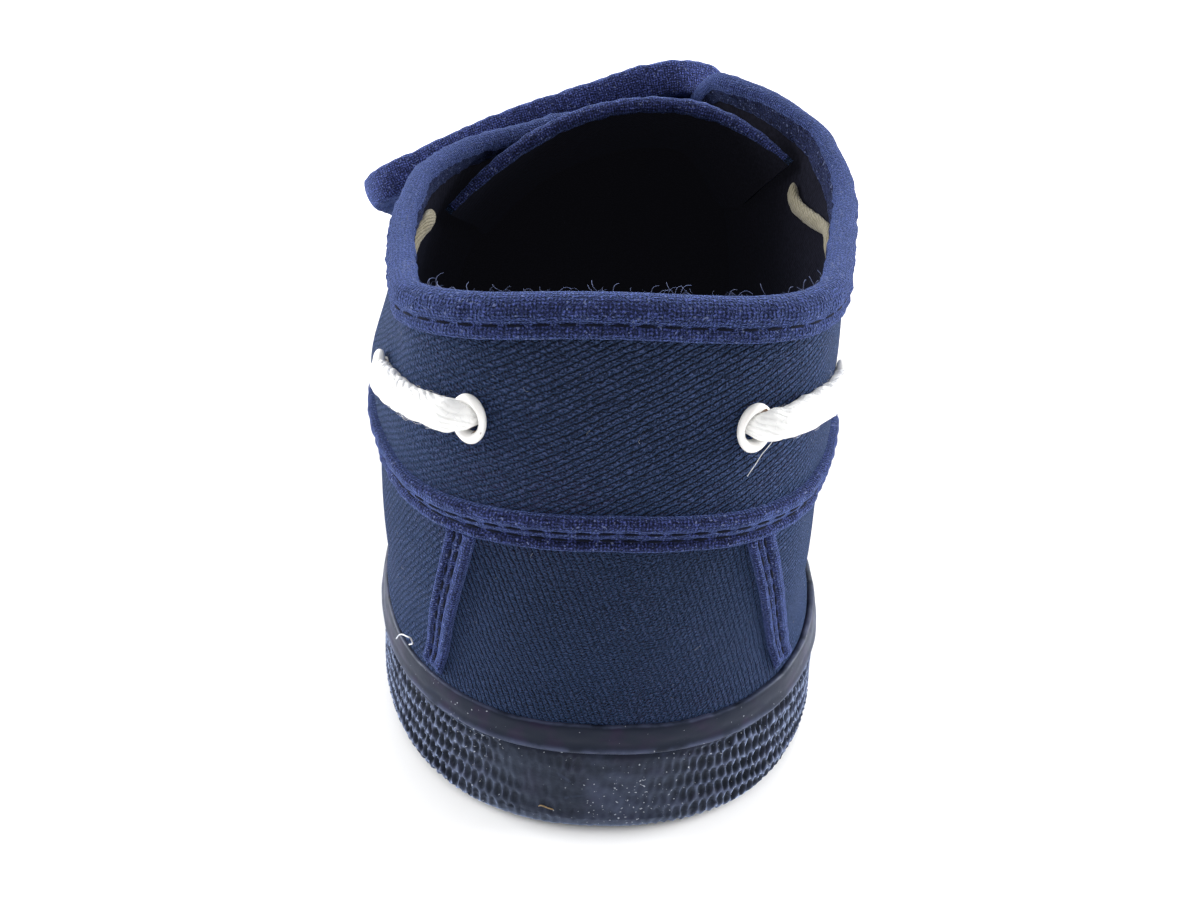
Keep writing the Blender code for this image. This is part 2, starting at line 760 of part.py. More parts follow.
def build_collar_binding(collection, tape):
    """Bias binding folded over the whole top edge, collar and throat."""
    outside = BAND_STEP + GAP
    inside = -(WALL + FOLD_GAP)
    section = [
        # depth below the edge, offset from the canvas
        (1.6, outside),
        (3.1, outside),
        (3.1, outside + BINDING),
        (1.6, outside + BINDING),
        (0.2, outside + BINDING),
        (-0.9, outside - 0.3),
        (-0.9, inside + 0.3),
        (0.2, inside - BINDING),
        (2.8, inside - BINDING),
        (2.8, inside),
        (1.4, inside),
        (-FOLD_GAP, inside),
        (-FOLD_GAP, outside),
    ]
    sections = [[edge_point(u, depth, offset) for depth, offset in section]
                for u in ring_parameters(RING_STATIONS)]
    return sweep("collar_binding", collection, tape, sections, closed=True)


def tongue_point(row, share):
    """Point of the tongue's upper surface: row 0 to 1 from its back edge, share -1 to 1."""
    first, last = TONGUE[0][0], TONGUE[-1][0]
    y = first + (last - first) * row
    middle_x, middle_z, lateral_x, lateral_z, medial_x, medial_z = tongue_rows(y)
    side_x, side_z = (medial_x, medial_z) if share > 0 else (lateral_x, lateral_z)
    reach = abs(share)
    return np.array([middle_x + (side_x - middle_x) * reach,
                     y - TONGUE_CORNER * reach**2 * max(1 - 3 * row, 0.0),
                     middle_z + (side_z - middle_z) * reach**2.2])


def strap_point(place_along, share):
    """Point of the strap's under surface: share 0 at its back edge, 1 at its front edge."""
    values = strap_rows(place_along)
    back, front = np.array(values[:3]), np.array(values[3:])
    from_end = (1.0 - place_along) / STRAP_CORNER
    trim = 0.0 if from_end >= 1 else 0.26 * (1 - math.sqrt(max(1 - (1 - from_end)**2, 0.0)))
    return back + (front - back) * (trim + (1 - 2 * trim) * share)


def sheet(name, collection, finish, surface, rows, columns, thickness, upwards):
    """An open surface given its thickness by Solidify."""
    points = [surface(r, c) for r in rows for c in columns]
    width = len(columns)
    faces = []
    for i in range(len(rows) - 1):
        for j in range(width - 1):
            a = i * width + j
            faces.append((a, a + 1, a + width + 1, a + width))
    obj = mesh_object(name, collection, finish, points, faces)
    mean = sum((polygon.normal for polygon in obj.data.polygons), Vector())
    if mean.z < 0:
        obj.data.flip_normals()
    solid = obj.modifiers.new("thickness", 'SOLIDIFY')
    solid.thickness = thickness * MM
    solid.offset = 1.0 if upwards else -1.0
    solid.use_even_offset = True
    return obj


def fold_over(path, normals, outwards, low, high, leg):
    """Sections of a binding folded over an edge: the cloth lies between heights low and high."""
    section = [
        # distance in from the edge, height
        (leg, high + FOLD_GAP),
        (leg, high + FOLD_GAP + BINDING),
        (0.2, high + FOLD_GAP + BINDING),
        (-0.75, high),
        (-0.75, low),
        (0.2, low - FOLD_GAP - BINDING),
        (leg, low - FOLD_GAP - BINDING),
        (leg, low - FOLD_GAP),
        (-GAP, low - FOLD_GAP),
        (-GAP, high + FOLD_GAP),
    ]
    return [[point - out * depth + normal * height for depth, height in section]
            for point, normal, out in zip(path, normals, outwards)]


def frame_at(surface, r, c, step=0.004):
    """Normal of a surface, pointing up."""
    down_row = surface(r + step, c) - surface(r - step, c)
    down_column = surface(r, c + step) - surface(r, c - step)
    normal = np.cross(down_row, down_column)
    normal /= np.linalg.norm(normal)
    return normal if normal[2] > 0 else -normal


def edge_frames(surface, places, inward):
    """Points, normals and outward directions at places along a sheet's edge."""
    points = [surface(r, c) for r, c in places]
    normals, outwards = [], []
    for i, (r, c) in enumerate(places):
        ahead = points[min(i + 1, len(points) - 1)]
        behind = points[max(i - 1, 0)]
        along = (ahead - behind) / np.linalg.norm(ahead - behind)
        normal = frame_at(surface, min(max(r, 0.01), 0.99), min(max(c, inward[0]), inward[1]))
        out = np.cross(along, normal)
        out /= np.linalg.norm(out)
        inner = surface(r + (0.5 - r) * 0.1, c + (sum(inward) / 2 - c) * 0.1)
        if np.dot(out, inner - points[i]) > 0:
            out = -out
        normals.append(normal - out * np.dot(normal, out))
        outwards.append(out)
    return points, normals, outwards


def build_tongue(collection, canvas):
    rows = [0.0, 0.08, 0.17, 0.26, 0.37, 0.51, 0.68, 0.86, 1.0]
    columns = [-1 + i / 9 for i in range(19)]
    sheet("tongue", collection, canvas, tongue_point, rows, columns, TONGUE_THICKNESS, False)


def build_strap(collection, canvas, tape):
    """The strap and the binding round its two long edges and its free end."""
    rows = [i / STRAP_STATIONS for i in range(STRAP_STATIONS)] + [0.98, 1.0]
    columns = [i / 6 for i in range(7)]
    sheet("strap", collection, canvas, strap_point, rows, columns, STRAP_THICKNESS, True)
    back = [(r, 0.0) for r in rows]
    end = [(1.0, i / 8) for i in range(1, 8)]
    front = [(r, 1.0) for r in reversed(rows)]
    frames = edge_frames(strap_point, back + end + front, (0.02, 0.98))
    sections = fold_over(*frames, 0.0, STRAP_THICKNESS, 3.4)
    sweep("strap_binding", collection, tape, sections, closed=False)


def main():
    for obj in list(bpy.data.objects):
        bpy.data.objects.remove(obj, do_unlink=True)
    shoe = bpy.data.collections.new("boat_shoe")
    cutters = bpy.data.collections.new("cutters")
    for collection in (shoe, cutters):
        bpy.context.scene.collection.children.link(collection)
    canvas = material("navy_canvas", (0.02, 0.03, 0.09), 0.9)
    tape = material("navy_tape", (0.03, 0.035, 0.16), 0.85)
    rubber = material("navy_rubber", (0.012, 0.016, 0.045), 0.4)
    lining = material("sock_lining", (0.015, 0.02, 0.06), 0.95)
    metal = material("eyelet_metal", (0.8, 0.8, 0.78), 0.3, 1.0)
    cord = material("white_cord", (0.85, 0.85, 0.83), 0.9)
    build_outsole(shoe, cutters, rubber)
    build_foxing(shoe, rubber)
    build_insole(shoe, lining)
    build_upper(shoe, cutters, canvas)
    build_tongue(shoe, canvas)
    build_collar_binding(shoe, tape)
    build_tapes(shoe, tape)
    build_strap(shoe, canvas, tape)
    build_eyelets(shoe, metal)
    build_lace(shoe, cord)


if __name__ == "__main__":
    main()
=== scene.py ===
"""Looks of a child's canvas boat shoe: its cloth, tapes, stitches, lace, eyelets and rubber.

Tables and lengths are millimetres, measured from the back of the heel on the floor: x towards
the medial side, y towards the toe, z up.  Every mesh is made in the frame's own metres.
"""

import math

import bmesh
import bpy
import numpy as np
from bpy.props import FloatProperty, FloatVectorProperty, IntProperty, PointerProperty
from mathutils import Matrix, Vector


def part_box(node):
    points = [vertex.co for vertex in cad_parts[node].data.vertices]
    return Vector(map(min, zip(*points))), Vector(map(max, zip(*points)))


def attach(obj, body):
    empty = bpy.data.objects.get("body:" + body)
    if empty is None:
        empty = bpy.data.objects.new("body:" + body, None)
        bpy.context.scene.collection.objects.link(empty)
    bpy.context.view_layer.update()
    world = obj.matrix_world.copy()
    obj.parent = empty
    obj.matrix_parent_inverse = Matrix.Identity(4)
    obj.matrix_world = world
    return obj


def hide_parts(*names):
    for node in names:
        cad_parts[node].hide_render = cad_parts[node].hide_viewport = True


bl_info = {
    "name": "Canvas Boat Shoe",
    "version": (1, 0, 0),
    "blender": (4, 5, 0),
    "location": "View3D > Sidebar > Boat Shoe",
    "description": "Dresses a child's canvas boat shoe in twill, tape, cord and rubber",
    "category": "Add Mesh",
}

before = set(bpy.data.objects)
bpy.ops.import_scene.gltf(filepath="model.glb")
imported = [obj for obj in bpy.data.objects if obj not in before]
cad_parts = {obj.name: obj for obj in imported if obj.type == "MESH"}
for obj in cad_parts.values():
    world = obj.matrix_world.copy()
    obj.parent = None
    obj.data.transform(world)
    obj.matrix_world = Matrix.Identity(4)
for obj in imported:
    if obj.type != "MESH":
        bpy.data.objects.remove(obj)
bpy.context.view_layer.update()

MM = 0.001
MEDIAL, LATERAL = 1, -1
SIDE_NAMES = {MEDIAL: "medial", LATERAL: "lateral"}
TURN = 2 * math.pi
SHARP_EDGE = math.radians(60)
STEP = 0.004                     # in parameters, for slopes and directions

# Places round the shoe: stations 0 (heel) to 3 (toe) on each side, which as ring parameters
# run from the heel along the medial side to the toe, and back along the lateral side
RING = 6.0

# Driving sizes, taken from the frame
SOLE_BULGE = 0.3                 # the sole's wall stands this far outside its outline
SOLE_LOW, SOLE_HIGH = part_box("outsole")
SOLE_LENGTH = (SOLE_HIGH.y - SOLE_LOW.y) / MM - 2 * SOLE_BULGE
ORIGIN_Y = -SOLE_LOW.y / MM - SOLE_BULGE

# The sole's outline
HEEL_HALF_WIDTH = 30.2
HEEL_CAP = 36.0                  # from the back of the heel to its widest place
HEEL_ROUNDNESS = 2.30            # exponent of the heel's superellipse
BALL_HALF_WIDTH = 41.4
TOE_START = 160.0
TOE_ROUNDNESS = 2.25
OUTLINE = [
    # y, half width
    (HEEL_CAP, HEEL_HALF_WIDTH), (60.0, 29.9), (85.0, 29.6), (115.0, 34.2), (142.0, 40.0),
    (TOE_START, BALL_HALF_WIDTH),
]
MIDLINE = [
    # y, x
    (0.0, 0.0), (20.0, -0.4), (45.0, -1.6), (85.0, -3.4), (115.0, -2.6), (150.0, 0.8),
    (185.0, 5.0), (SOLE_LENGTH, 10.5),
]
RIM_HEIGHT = [
    # y, z of the rubber's upper edge
    (0.0, 17.3), (60.0, 17.0), (110.0, 16.0), (160.0, 15.8), (195.0, 18.6), (SOLE_LENGTH, 24.0),
]
TEXTURE_DROP = 4.0               # from the rubber's upper edge down to the knurled wall
ARCH = (72.0, 122.0, 1.4)        # from y, to y, lift of the bottom
TOE_SPRING = (162.0, 7.5)        # from y, lift at the toe

# The upper
WALL = 1.4
BAND_STEP = 0.5                  # the collar band stands proud of the panels under it
GAP = 0.3
FEATHER_INSET = 2.5              # from the sole's outline to the upper's lower edge
TOP_EDGE = {
    MEDIAL: [
        # station, x, y, z
        (0.00, 0.0, 5.0, 66.8),
        (0.20, 10.6, 5.6, 66.4),
        (0.33, 16.6, 7.6, 66.2),
        (0.45, 20.2, 11.4, 66.1),
        (0.60, 22.4, 18.4, 65.8),
        (0.80, 25.2, 29.5, 65.6),
        (0.95, 27.4, 38.5, 66.1),
        (1.05, 28.3, 46.0, 67.4),
        (1.15, 27.8, 54.5, 69.4),
        (1.23, 25.0, 61.5, 71.1),
        (1.30, 20.3, 67.3, 72.6),
        (1.36, 15.1, 71.9, 73.3),
        (1.42, 12.4, 79.0, 69.0),
        (1.52, 12.0, 93.0, 64.6),
        (1.67, 11.8, 116.0, 59.8),
        (2.20, 10.6, 119.2, 59.2),
        (3.00, 8.6, 120.4, 59.0),
    ],
    LATERAL: [
        (0.20, -10.6, 5.6, 66.2),
        (0.33, -16.6, 7.6, 65.6),
        (0.45, -20.2, 11.4, 65.0),
        (0.60, -21.9, 18.4, 64.4),
        (0.80, -24.1, 29.5, 64.2),
        (0.95, -24.9, 38.5, 64.6),
        (1.05, -24.8, 46.0, 65.3),
        (1.15, -23.5, 52.3, 65.7),
        (1.23, -20.2, 59.5, 66.1),
        (1.30, -13.8, 65.5, 66.5),
        (1.36, -5.6, 70.3, 67.5),
        (1.41, 0.2, 74.0, 67.4),
        (1.47, 2.0, 80.5, 65.4),
        (1.55, 3.2, 93.0, 62.8),
        (1.67, 5.2, 116.0, 59.6),
        (2.20, 6.4, 119.2, 59.1),
    ],
}
SECTION = [
    # station, rise, swell on the medial side, swell on the lateral side, reach, drop
    (0.0, 17.0, 3.0, 3.0, 0.92, 17.0), (0.5, 16.0, 1.6, 3.2, 0.93, 17.0),
    (0.8, 15.0, 0.2, 3.3, 0.92, 16.0), (1.0, 15.0, 0.2, 3.4, 0.92, 15.0),
    (1.2, 19.0, 1.6, 4.0, 0.88, 12.0), (1.4, 22.0, 2.6, 3.8, 0.66, 7.0),
    (1.67, 24.0, 3.0, 3.0, 0.56, 5.0), (2.0, 23.0, 3.0, 3.0, 0.54, 9.0),
    (2.5, 25.0, 2.4, 2.4, 0.54, 12.0), (3.0, 27.0, 1.6, 1.6, 0.55, 14.0),
]
BAND_LINE = [
    # station, z of the seam between the collar band and the panels under it
    (0.0, 43.6), (0.5, 42.6), (1.0, 42.0), (1.67, 42.5), (2.3, 43.0), (3.0, 43.5),
]
APRON_STATION = 1.64             # where the band's tape gives way to the apron seam
HEEL_SEAM = [
    # z, station of the tape's middle on the medial side, and on the lateral side
    (17.9, 0.512, 0.455), (30.0, 0.414, 0.382), (40.4, 0.326, 0.316),
]

# The tongue's upper surface in rows across the shoe
TONGUE = [
    # y, middle x, middle z, lateral x, lateral z, medial x, medial z
    (64.0, 6.5, 71.9, -20.4, 61.0, 23.4, 66.6),
    (70.0, 7.0, 67.8, -19.8, 57.4, 21.4, 61.0),
    (76.0, 7.5, 64.4, -19.2, 54.0, 19.8, 56.0),
    (82.0, 8.0, 61.9, -19.0, 50.2, 18.8, 53.6),
    (90.0, 8.0, 60.6, -18.6, 48.0, 18.4, 51.8),
    (100.0, 8.0, 58.8, -18.0, 47.4, 18.6, 50.6),
    (112.0, 8.6, 56.6, -16.5, 46.8, 18.8, 50.0),
    (124.0, 9.0, 54.4, -15.0, 47.0, 18.2, 50.0),
    (134.0, 9.0, 52.4, -13.0, 46.4, 17.4, 49.0),
]
TONGUE_CORNER = 6.0              # its back edge lies this much further back at the sides
TONGUE_CLOTH = 1.1

# The strap's under surface, from its sewn medial end over the instep to its free end
STRAP = [
    # place, back x, y, z, front x, y, z
    (0.0, 24.0, 93.0, 46.9, 25.5, 114.0, 46.8),
    (0.08, 22.4, 90.0, 53.0, 22.5, 112.0, 52.6),
    (0.17, 20.3, 88.0, 60.2, 20.0, 110.0, 57.7),
    (0.25, 17.5, 85.0, 66.5, 16.8, 107.0, 61.9),
    (0.32, 13.8, 81.5, 71.2, 12.8, 104.0, 63.8),
    (0.38, 9.4, 79.0, 72.0, 8.4, 102.0, 63.9),
    (0.45, 4.2, 78.0, 71.2, 3.0, 101.0, 63.3),
    (0.53, -1.6, 77.4, 69.3, -3.2, 100.0, 62.6),
    (0.62, -8.2, 76.7, 67.2, -10.4, 99.0, 60.0),
    (0.71, -15.2, 75.6, 65.0, -17.4, 98.0, 56.2),
    (0.81, -22.4, 74.5, 62.2, -24.2, 97.0, 51.8),
    (0.9, -30.0, 73.5, 58.8, -30.6, 96.0, 48.4),
    (1.0, -38.8, 73.0, 54.8, -37.8, 94.0, 45.8),
]
STRAP_CLOTH = 2.0
STRAP_CORNER = 0.06              # share of the strap's length over which its free end is rounded

EYELETS = {
    # name and side: station, z
    ("rear", MEDIAL): (0.254, 54.6), ("rear", LATERAL): (0.270, 54.6),
    ("side", MEDIAL): (0.66, 52.2), ("side", LATERAL): (0.66, 51.8),
}
EYELET_OVAL = 0.72               # its width over its height


class Curve:
    """Smooth curve through rows of (x, value, ...), which never overshoots a row."""

    def __init__(self, rows):
        table = np.asarray(rows, dtype=float)
        self.knots, self.values = table[:, 0], table[:, 1:]
        self.widths = np.diff(self.knots)[:, None]
        climbs = np.diff(self.values, axis=0) / self.widths
        before, after = climbs[:-1], climbs[1:]
        near = self.widths[:-1] + 2 * self.widths[1:]
        far = 2 * self.widths[:-1] + self.widths[1:]
        same_way = before * after > 0
        blend = near / np.where(same_way, before, 1) + far / np.where(same_way, after, 1)
        slopes = np.where(same_way, (near + far) / blend, 0.0)
        self.slopes = np.concatenate([climbs[:1], slopes, climbs[-1:]])

    def __call__(self, x):
        x = np.clip(np.asarray(x, dtype=float), self.knots[0], self.knots[-1])
        i = np.clip(np.searchsorted(self.knots, x) - 1, 0, len(self.knots) - 2)
        width = self.widths[i]
        t = (x - self.knots[i])[..., None] / width
        result = ((2 * t**3 - 3 * t**2 + 1) * self.values[i]
                  + (t**3 - 2 * t**2 + t) * width * self.slopes[i]
                  + (3 * t**2 - 2 * t**3) * self.values[i + 1]
                  + (t**3 - t**2) * width * self.slopes[i + 1])
        return result if result.shape[-1] > 1 else result[..., 0]


def ring_table(per_side):
    """Rows for a closed ring, with a row more at each end so that it closes smoothly."""
    rows = [list(row) for row in per_side[MEDIAL]]
    rows += [[RING - row[0], *row[1:]] for row in reversed(per_side[LATERAL])]
    ends = [[RING + row[0], *row[1:]] for row in rows[:2]]
    return [[rows[-1][0] - RING, *rows[-1][1:]]] + rows + ends


outline_width, midline_x, rim_z = Curve(OUTLINE), Curve(MIDLINE), Curve(RIM_HEIGHT)
top_edge, section_handles = Curve(ring_table(TOP_EDGE)), Curve(SECTION)
band_height, seam_stations = Curve(BAND_LINE), Curve(HEEL_SEAM)
tongue_rows, strap_rows = Curve(TONGUE), Curve(STRAP)


# ---- The last: the shoe's surface by ring parameter and height ----

def unit(vectors):
    return vectors / np.linalg.norm(vectors, axis=-1, keepdims=True)


def arrays(*values):
    return np.broadcast_arrays(*(np.asarray(value, float) for value in values))


def bell(values, middle, reach):
    """1 at the middle, falling off smoothly over the reach."""
    return np.exp(-((values - middle) / reach)**2)


def split(u):
    """Ring parameters as their sides and their stations."""
    u = np.mod(u, RING)
    medial = u <= RING / 2
    return np.where(medial, MEDIAL, LATERAL), np.where(medial, u, RING - u)


def on_ring(side, station):
    return station if side == MEDIAL else RING - station


def half_width(y):
    heel = np.clip(1 - y / HEEL_CAP, 0.0, 1.0)
    toe = np.clip((y - TOE_START) / (SOLE_LENGTH - TOE_START), 0.0, 1.0)
    at_heel = HEEL_HALF_WIDTH * (1 - heel**HEEL_ROUNDNESS)**(1 / HEEL_ROUNDNESS)
    at_toe = BALL_HALF_WIDTH * (1 - toe**TOE_ROUNDNESS)**(1 / TOE_ROUNDNESS)
    return np.where(y <= HEEL_CAP, at_heel, np.where(y < TOE_START, outline_width(y), at_toe))


def station_y(station):
    """How far forward of the heel's back a station of the outline lies."""
    heel = np.cos(np.clip(station, 0, 1) * math.pi / 2)
    toe = np.sin(np.clip(station - 2, 0, 1) * math.pi / 2)
    at_heel = HEEL_CAP * (1 - np.abs(heel)**(2 / HEEL_ROUNDNESS))
    between = HEEL_CAP + (TOE_START - HEEL_CAP) * (station - 1)
    at_toe = TOE_START + (SOLE_LENGTH - TOE_START) * toe**(2 / TOE_ROUNDNESS)
    return np.where(station <= 1, at_heel, np.where(station <= 2, between, at_toe))


def outline(u):
    side, station = split(u)
    y = station_y(station)
    return np.stack([midline_x(y) + side * half_width(y), y], axis=-1)


def outline_inset(u, inset):
    """Points of the outline moved inwards, square to it."""
    along = unit(outline(u + STEP) - outline(u - STEP))
    outward = np.stack([along[..., 1], -along[..., 0]], axis=-1)
    return outline(u) - outward * np.asarray(inset)[..., None]


def line_z(y):
    return rim_z(y) - TEXTURE_DROP


def bottom_z(y):
    start, end, lift = ARCH
    arch = lift * np.sin(math.pi * np.clip((y - start) / (end - start), 0, 1))**2
    start, lift = TOE_SPRING
    return arch + lift * (np.maximum(y - start, 0) / (SOLE_LENGTH - start))**2


def section_point(u, t):
    """The last's surface: ring parameter u, and t from the feather edge (0) to the top (1)."""
    u, t = arrays(u, t)
    side, station = split(u)
    rise, medial_swell, lateral_swell, reach, drop = np.moveaxis(section_handles(station), -1, 0)
    swell = np.where(side == MEDIAL, medial_swell, lateral_swell)[..., None]
    edge = outline_inset(u, FEATHER_INSET)
    out = unit(outline(u) - edge)
    foot = np.concatenate([edge, (line_z(edge[..., 1]) + GAP)[..., None]], axis=-1)
    top = top_edge(np.mod(u, RING))
    first = foot + np.concatenate([out * swell, rise[..., None]], axis=-1)
    inward = (foot[..., :2] - top[..., :2]) * reach[..., None]
    second = top + np.concatenate([inward, -drop[..., None]], axis=-1)
    t = t[..., None]
    s = 1 - t
    return s**3 * foot + 3 * s**2 * t * first + 3 * s * t**2 * second + t**3 * top


def surface_normal(u, t):
    step = 0.01
    low, high = np.maximum(t - step, 0.0), np.minimum(t + step, 1.0)
    across = section_point(u + step, t) - section_point(u - step, t)
    up = section_point(u, high) - section_point(u, low)
    return unit(np.cross(across, up))


def t_at_height(u, z):
    u, z = arrays(u, z)
    low, high = np.zeros(u.shape), np.ones(u.shape)
    for _ in range(22):
        middle = (low + high) / 2
        below = section_point(u, middle)[..., 2] < z
        low, high = np.where(below, middle, low), np.where(below, high, middle)
    return (low + high) / 2


def band_t(u):
    return t_at_height(u, band_height(split(u)[1]))


def on_band(u, z, offset):
    """Points over the upper at a height, offset outwards from the canvas."""
    return cloth(u, t_at_height(u, z), offset)


def across_edge(u):
    """Direction in the canvas square to its top edge, and how squarely the section meets it."""
    along = section_point(u + STEP, 1.0) - section_point(u - STEP, 1.0)
    up = unit(section_point(u, 1.0) - section_point(u, 0.97))
    square = unit(np.cross(along, surface_normal(u, np.ones(np.shape(u)))))
    turn = np.sum(square * up, axis=-1)
    square = square * np.where(turn < 0, -1.0, 1.0)[..., None]
    return square, np.maximum(np.abs(turn), 0.4)


def edge_points(u, depths, offsets):
    """Grid of points by the top edge: a row for each u, a column for each depth and offset."""
    square, share = across_edge(u)
    samples = np.linspace(1.0, 0.5, 26)
    points = section_point(u[:, None], samples[None, :])
    steps = np.linalg.norm(np.diff(points, axis=1), axis=-1)
    lengths = np.concatenate([np.zeros((len(u), 1)), np.cumsum(steps, axis=1)], axis=1)
    depths = np.broadcast_to(depths, (len(u), np.shape(depths)[-1]))
    down = np.maximum(depths, 0) / share[:, None]
    t = np.array([np.interp(row, length, samples) for row, length in zip(down, lengths)])
    above = np.minimum(depths, 0)
    return cloth(u[:, None], t, offsets) - square[:, None, :] * above[..., None]


def lengths_along(points, axis):
    """Running length in mm along one axis of a grid of points."""
    steps = np.linalg.norm(np.diff(points, axis=axis), axis=-1)
    start = 0 * np.take(steps, [0], axis=axis)
    return np.concatenate([start, np.cumsum(steps, axis=axis)], axis=axis)


# ---- The canvas as it lies: waving and creased ----

CREASES = [
    # one end x, y, z, the other end x, y, z, half width, depth inwards (negative stands out)
    (-29.5, 34.0, 38.0, -31.5, 60.0, 27.0, 3.0, 0.45),
    (-28.5, 46.0, 40.0, -30.0, 70.0, 34.0, 2.6, -0.3),
    (29.0, 30.0, 30.0, 30.5, 62.0, 36.0, 3.2, 0.4),
    (-14.0, 4.0, 38.0, 2.0, 1.0, 34.0, 3.6, 0.2),
    (25.0, 18.0, 50.0, 27.5, 40.0, 58.0, 2.8, 0.3),
    (-36.0, 118.0, 30.0, -16.0, 134.0, 41.0, 3.2, 0.9),
    (38.0, 120.0, 30.0, 18.0, 136.0, 40.0, 3.2, 0.9),
    (-37.0, 132.0, 26.0, -12.0, 146.0, 37.0, 2.8, 0.7),
    (40.0, 134.0, 26.0, 14.0, 148.0, 36.0, 2.8, 0.7),
]
WAVING = 0.13                    # depth of the canvas's own unevenness
BELLY = (1.2, 3.6, 3.4)          # swell over the sole's edge: how far, height above it, reach
SIDE_SWELL = (1.3, 28.0, 14.0, 49.0, 5.0)    # lateral: how far, middle and reach in y and in z


def waves(points, seed, wavelengths):
    """Smooth irregular relief between about -1 and 1, by place."""
    chance = np.random.default_rng(seed)
    total = np.zeros(np.shape(points)[:-1])
    for wavelength in wavelengths:
        for _ in range(4):
            way = unit(chance.normal(size=3)) * TURN / wavelength
            total = total + np.sin(points @ way + chance.uniform(0, TURN))
    return total / (4 * len(wavelengths))**0.5 / 1.5


def relief(points):
    """How far the canvas stands out at places on the last, in mm."""
    total = WAVING * waves(points, 5, (8.0, 15.0, 29.0))
    for row in CREASES:
        first, last = np.array(row[:3]), np.array(row[3:6])
        run = last - first
        share = np.clip(((points - first) @ run) / (run @ run), 0.0, 1.0)
        away = np.linalg.norm(points - first - share[..., None] * run, axis=-1)
        total = total - row[7] * bell(away, 0.0, row[6]) * np.sin(math.pi * share)**0.5
    x, y, z = np.moveaxis(points, -1, 0)
    rise = z - line_z(y)
    belly = BELLY[0] * bell(rise, *BELLY[1:])
    high, *places = SIDE_SWELL
    side = np.clip(-x / 10.0, 0.0, 1.0)
    belly = belly + high * side * bell(y, *places[:2]) * bell(z, *places[2:])
    return belly + total * np.clip((rise - 4.5) / 4.0, 0.0, 1.0)


def cloth(u, t, offset):
    """Points over the canvas, offset outwards from where it lies."""
    u, t, offset = arrays(u, t, offset)
    base = section_point(u, t)
    return base + surface_normal(u, t) * (offset + relief(base))[..., None]


def evenly(point_of, first, last, spacing):
    """Parameters at even distances in mm along a line of points."""
    fine = np.linspace(first, last, 4000)
    lengths = lengths_along(point_of(fine), 0)
    count = max(int(round(lengths[-1] / spacing)), 2)
    return np.interp(np.linspace(0.0, lengths[-1], count + 1), lengths, fine)


def puckers(lengths, pitch, seed):
    """How hard each stitch pulls the cloth, by length in mm: from about -1 to 1."""
    chance = np.random.default_rng(seed)
    slow, slower, shift = chance.uniform(0, TURN, 3)
    drift = 0.9 * np.sin(lengths * TURN / (pitch * 5.3) + slow)
    drift = drift + 0.7 * np.sin(lengths * TURN / (pitch * 11.7) + slower)
    pull = np.cos(lengths * TURN / pitch + drift)
    return 0.65 * pull + 0.35 * np.sin(lengths * TURN / (pitch * 1.63) + shift)


def smoothed(rows, count):
    """A profile given by a few rows, sampled smoothly at even places."""
    table = np.asarray(rows, float)
    steps = np.linalg.norm(np.diff(table, axis=0), axis=1)
    places = np.concatenate([[0.0], np.cumsum(steps)])
    curve = Curve(np.column_stack([places, table]))
    return curve(np.linspace(0.0, places[-1], count))


# ---- Meshes ----

def to_frame(points):
    return (np.asarray(points, float) - (0.0, ORIGIN_Y, 0.0)) * MM


def link(name, data):
    obj = bpy.data.objects.new(name, data)
    bpy.context.scene.collection.objects.link(obj)
    return obj


def add_mesh(name, vertices, faces=(), finishes=(), edges=()):
    mesh = bpy.data.meshes.new(name)
    mesh.from_pydata(vertices, edges, faces)
    mesh.update()
    for finish in finishes:
        mesh.materials.append(finish)
    mesh.shade_smooth()
    return link(name, mesh)


def keep_values(obj, values):
    """Store values at an object's vertices, by name."""
    for name, value in values.items():
        kind, slot = (("FLOAT_VECTOR", "vector") if np.ndim(value) == 2 else ("FLOAT", "value"))
        layer = obj.data.attributes.new(name, kind, "POINT")
        layer.data.foreach_set(slot, np.ascontiguousarray(value, np.float32).ravel())


def grid_cloth(sections, ring, strip):
    """The cloth's own lengths over a grid of sections: along the rows, and up each section.

    A strip is so narrow that one length serves its whole width.
    """
    grid = np.concatenate([sections, sections[:, :1]], axis=1)
    if ring:
        grid = np.concatenate([grid, grid[:1]], axis=0)
    along, up = lengths_along(grid, 0), lengths_along(grid, 1)
    if strip:
        along = along.mean(axis=1, keepdims=True) + 0 * up
        up = up.mean(axis=0, keepdims=True) + 0 * along
    return along, up


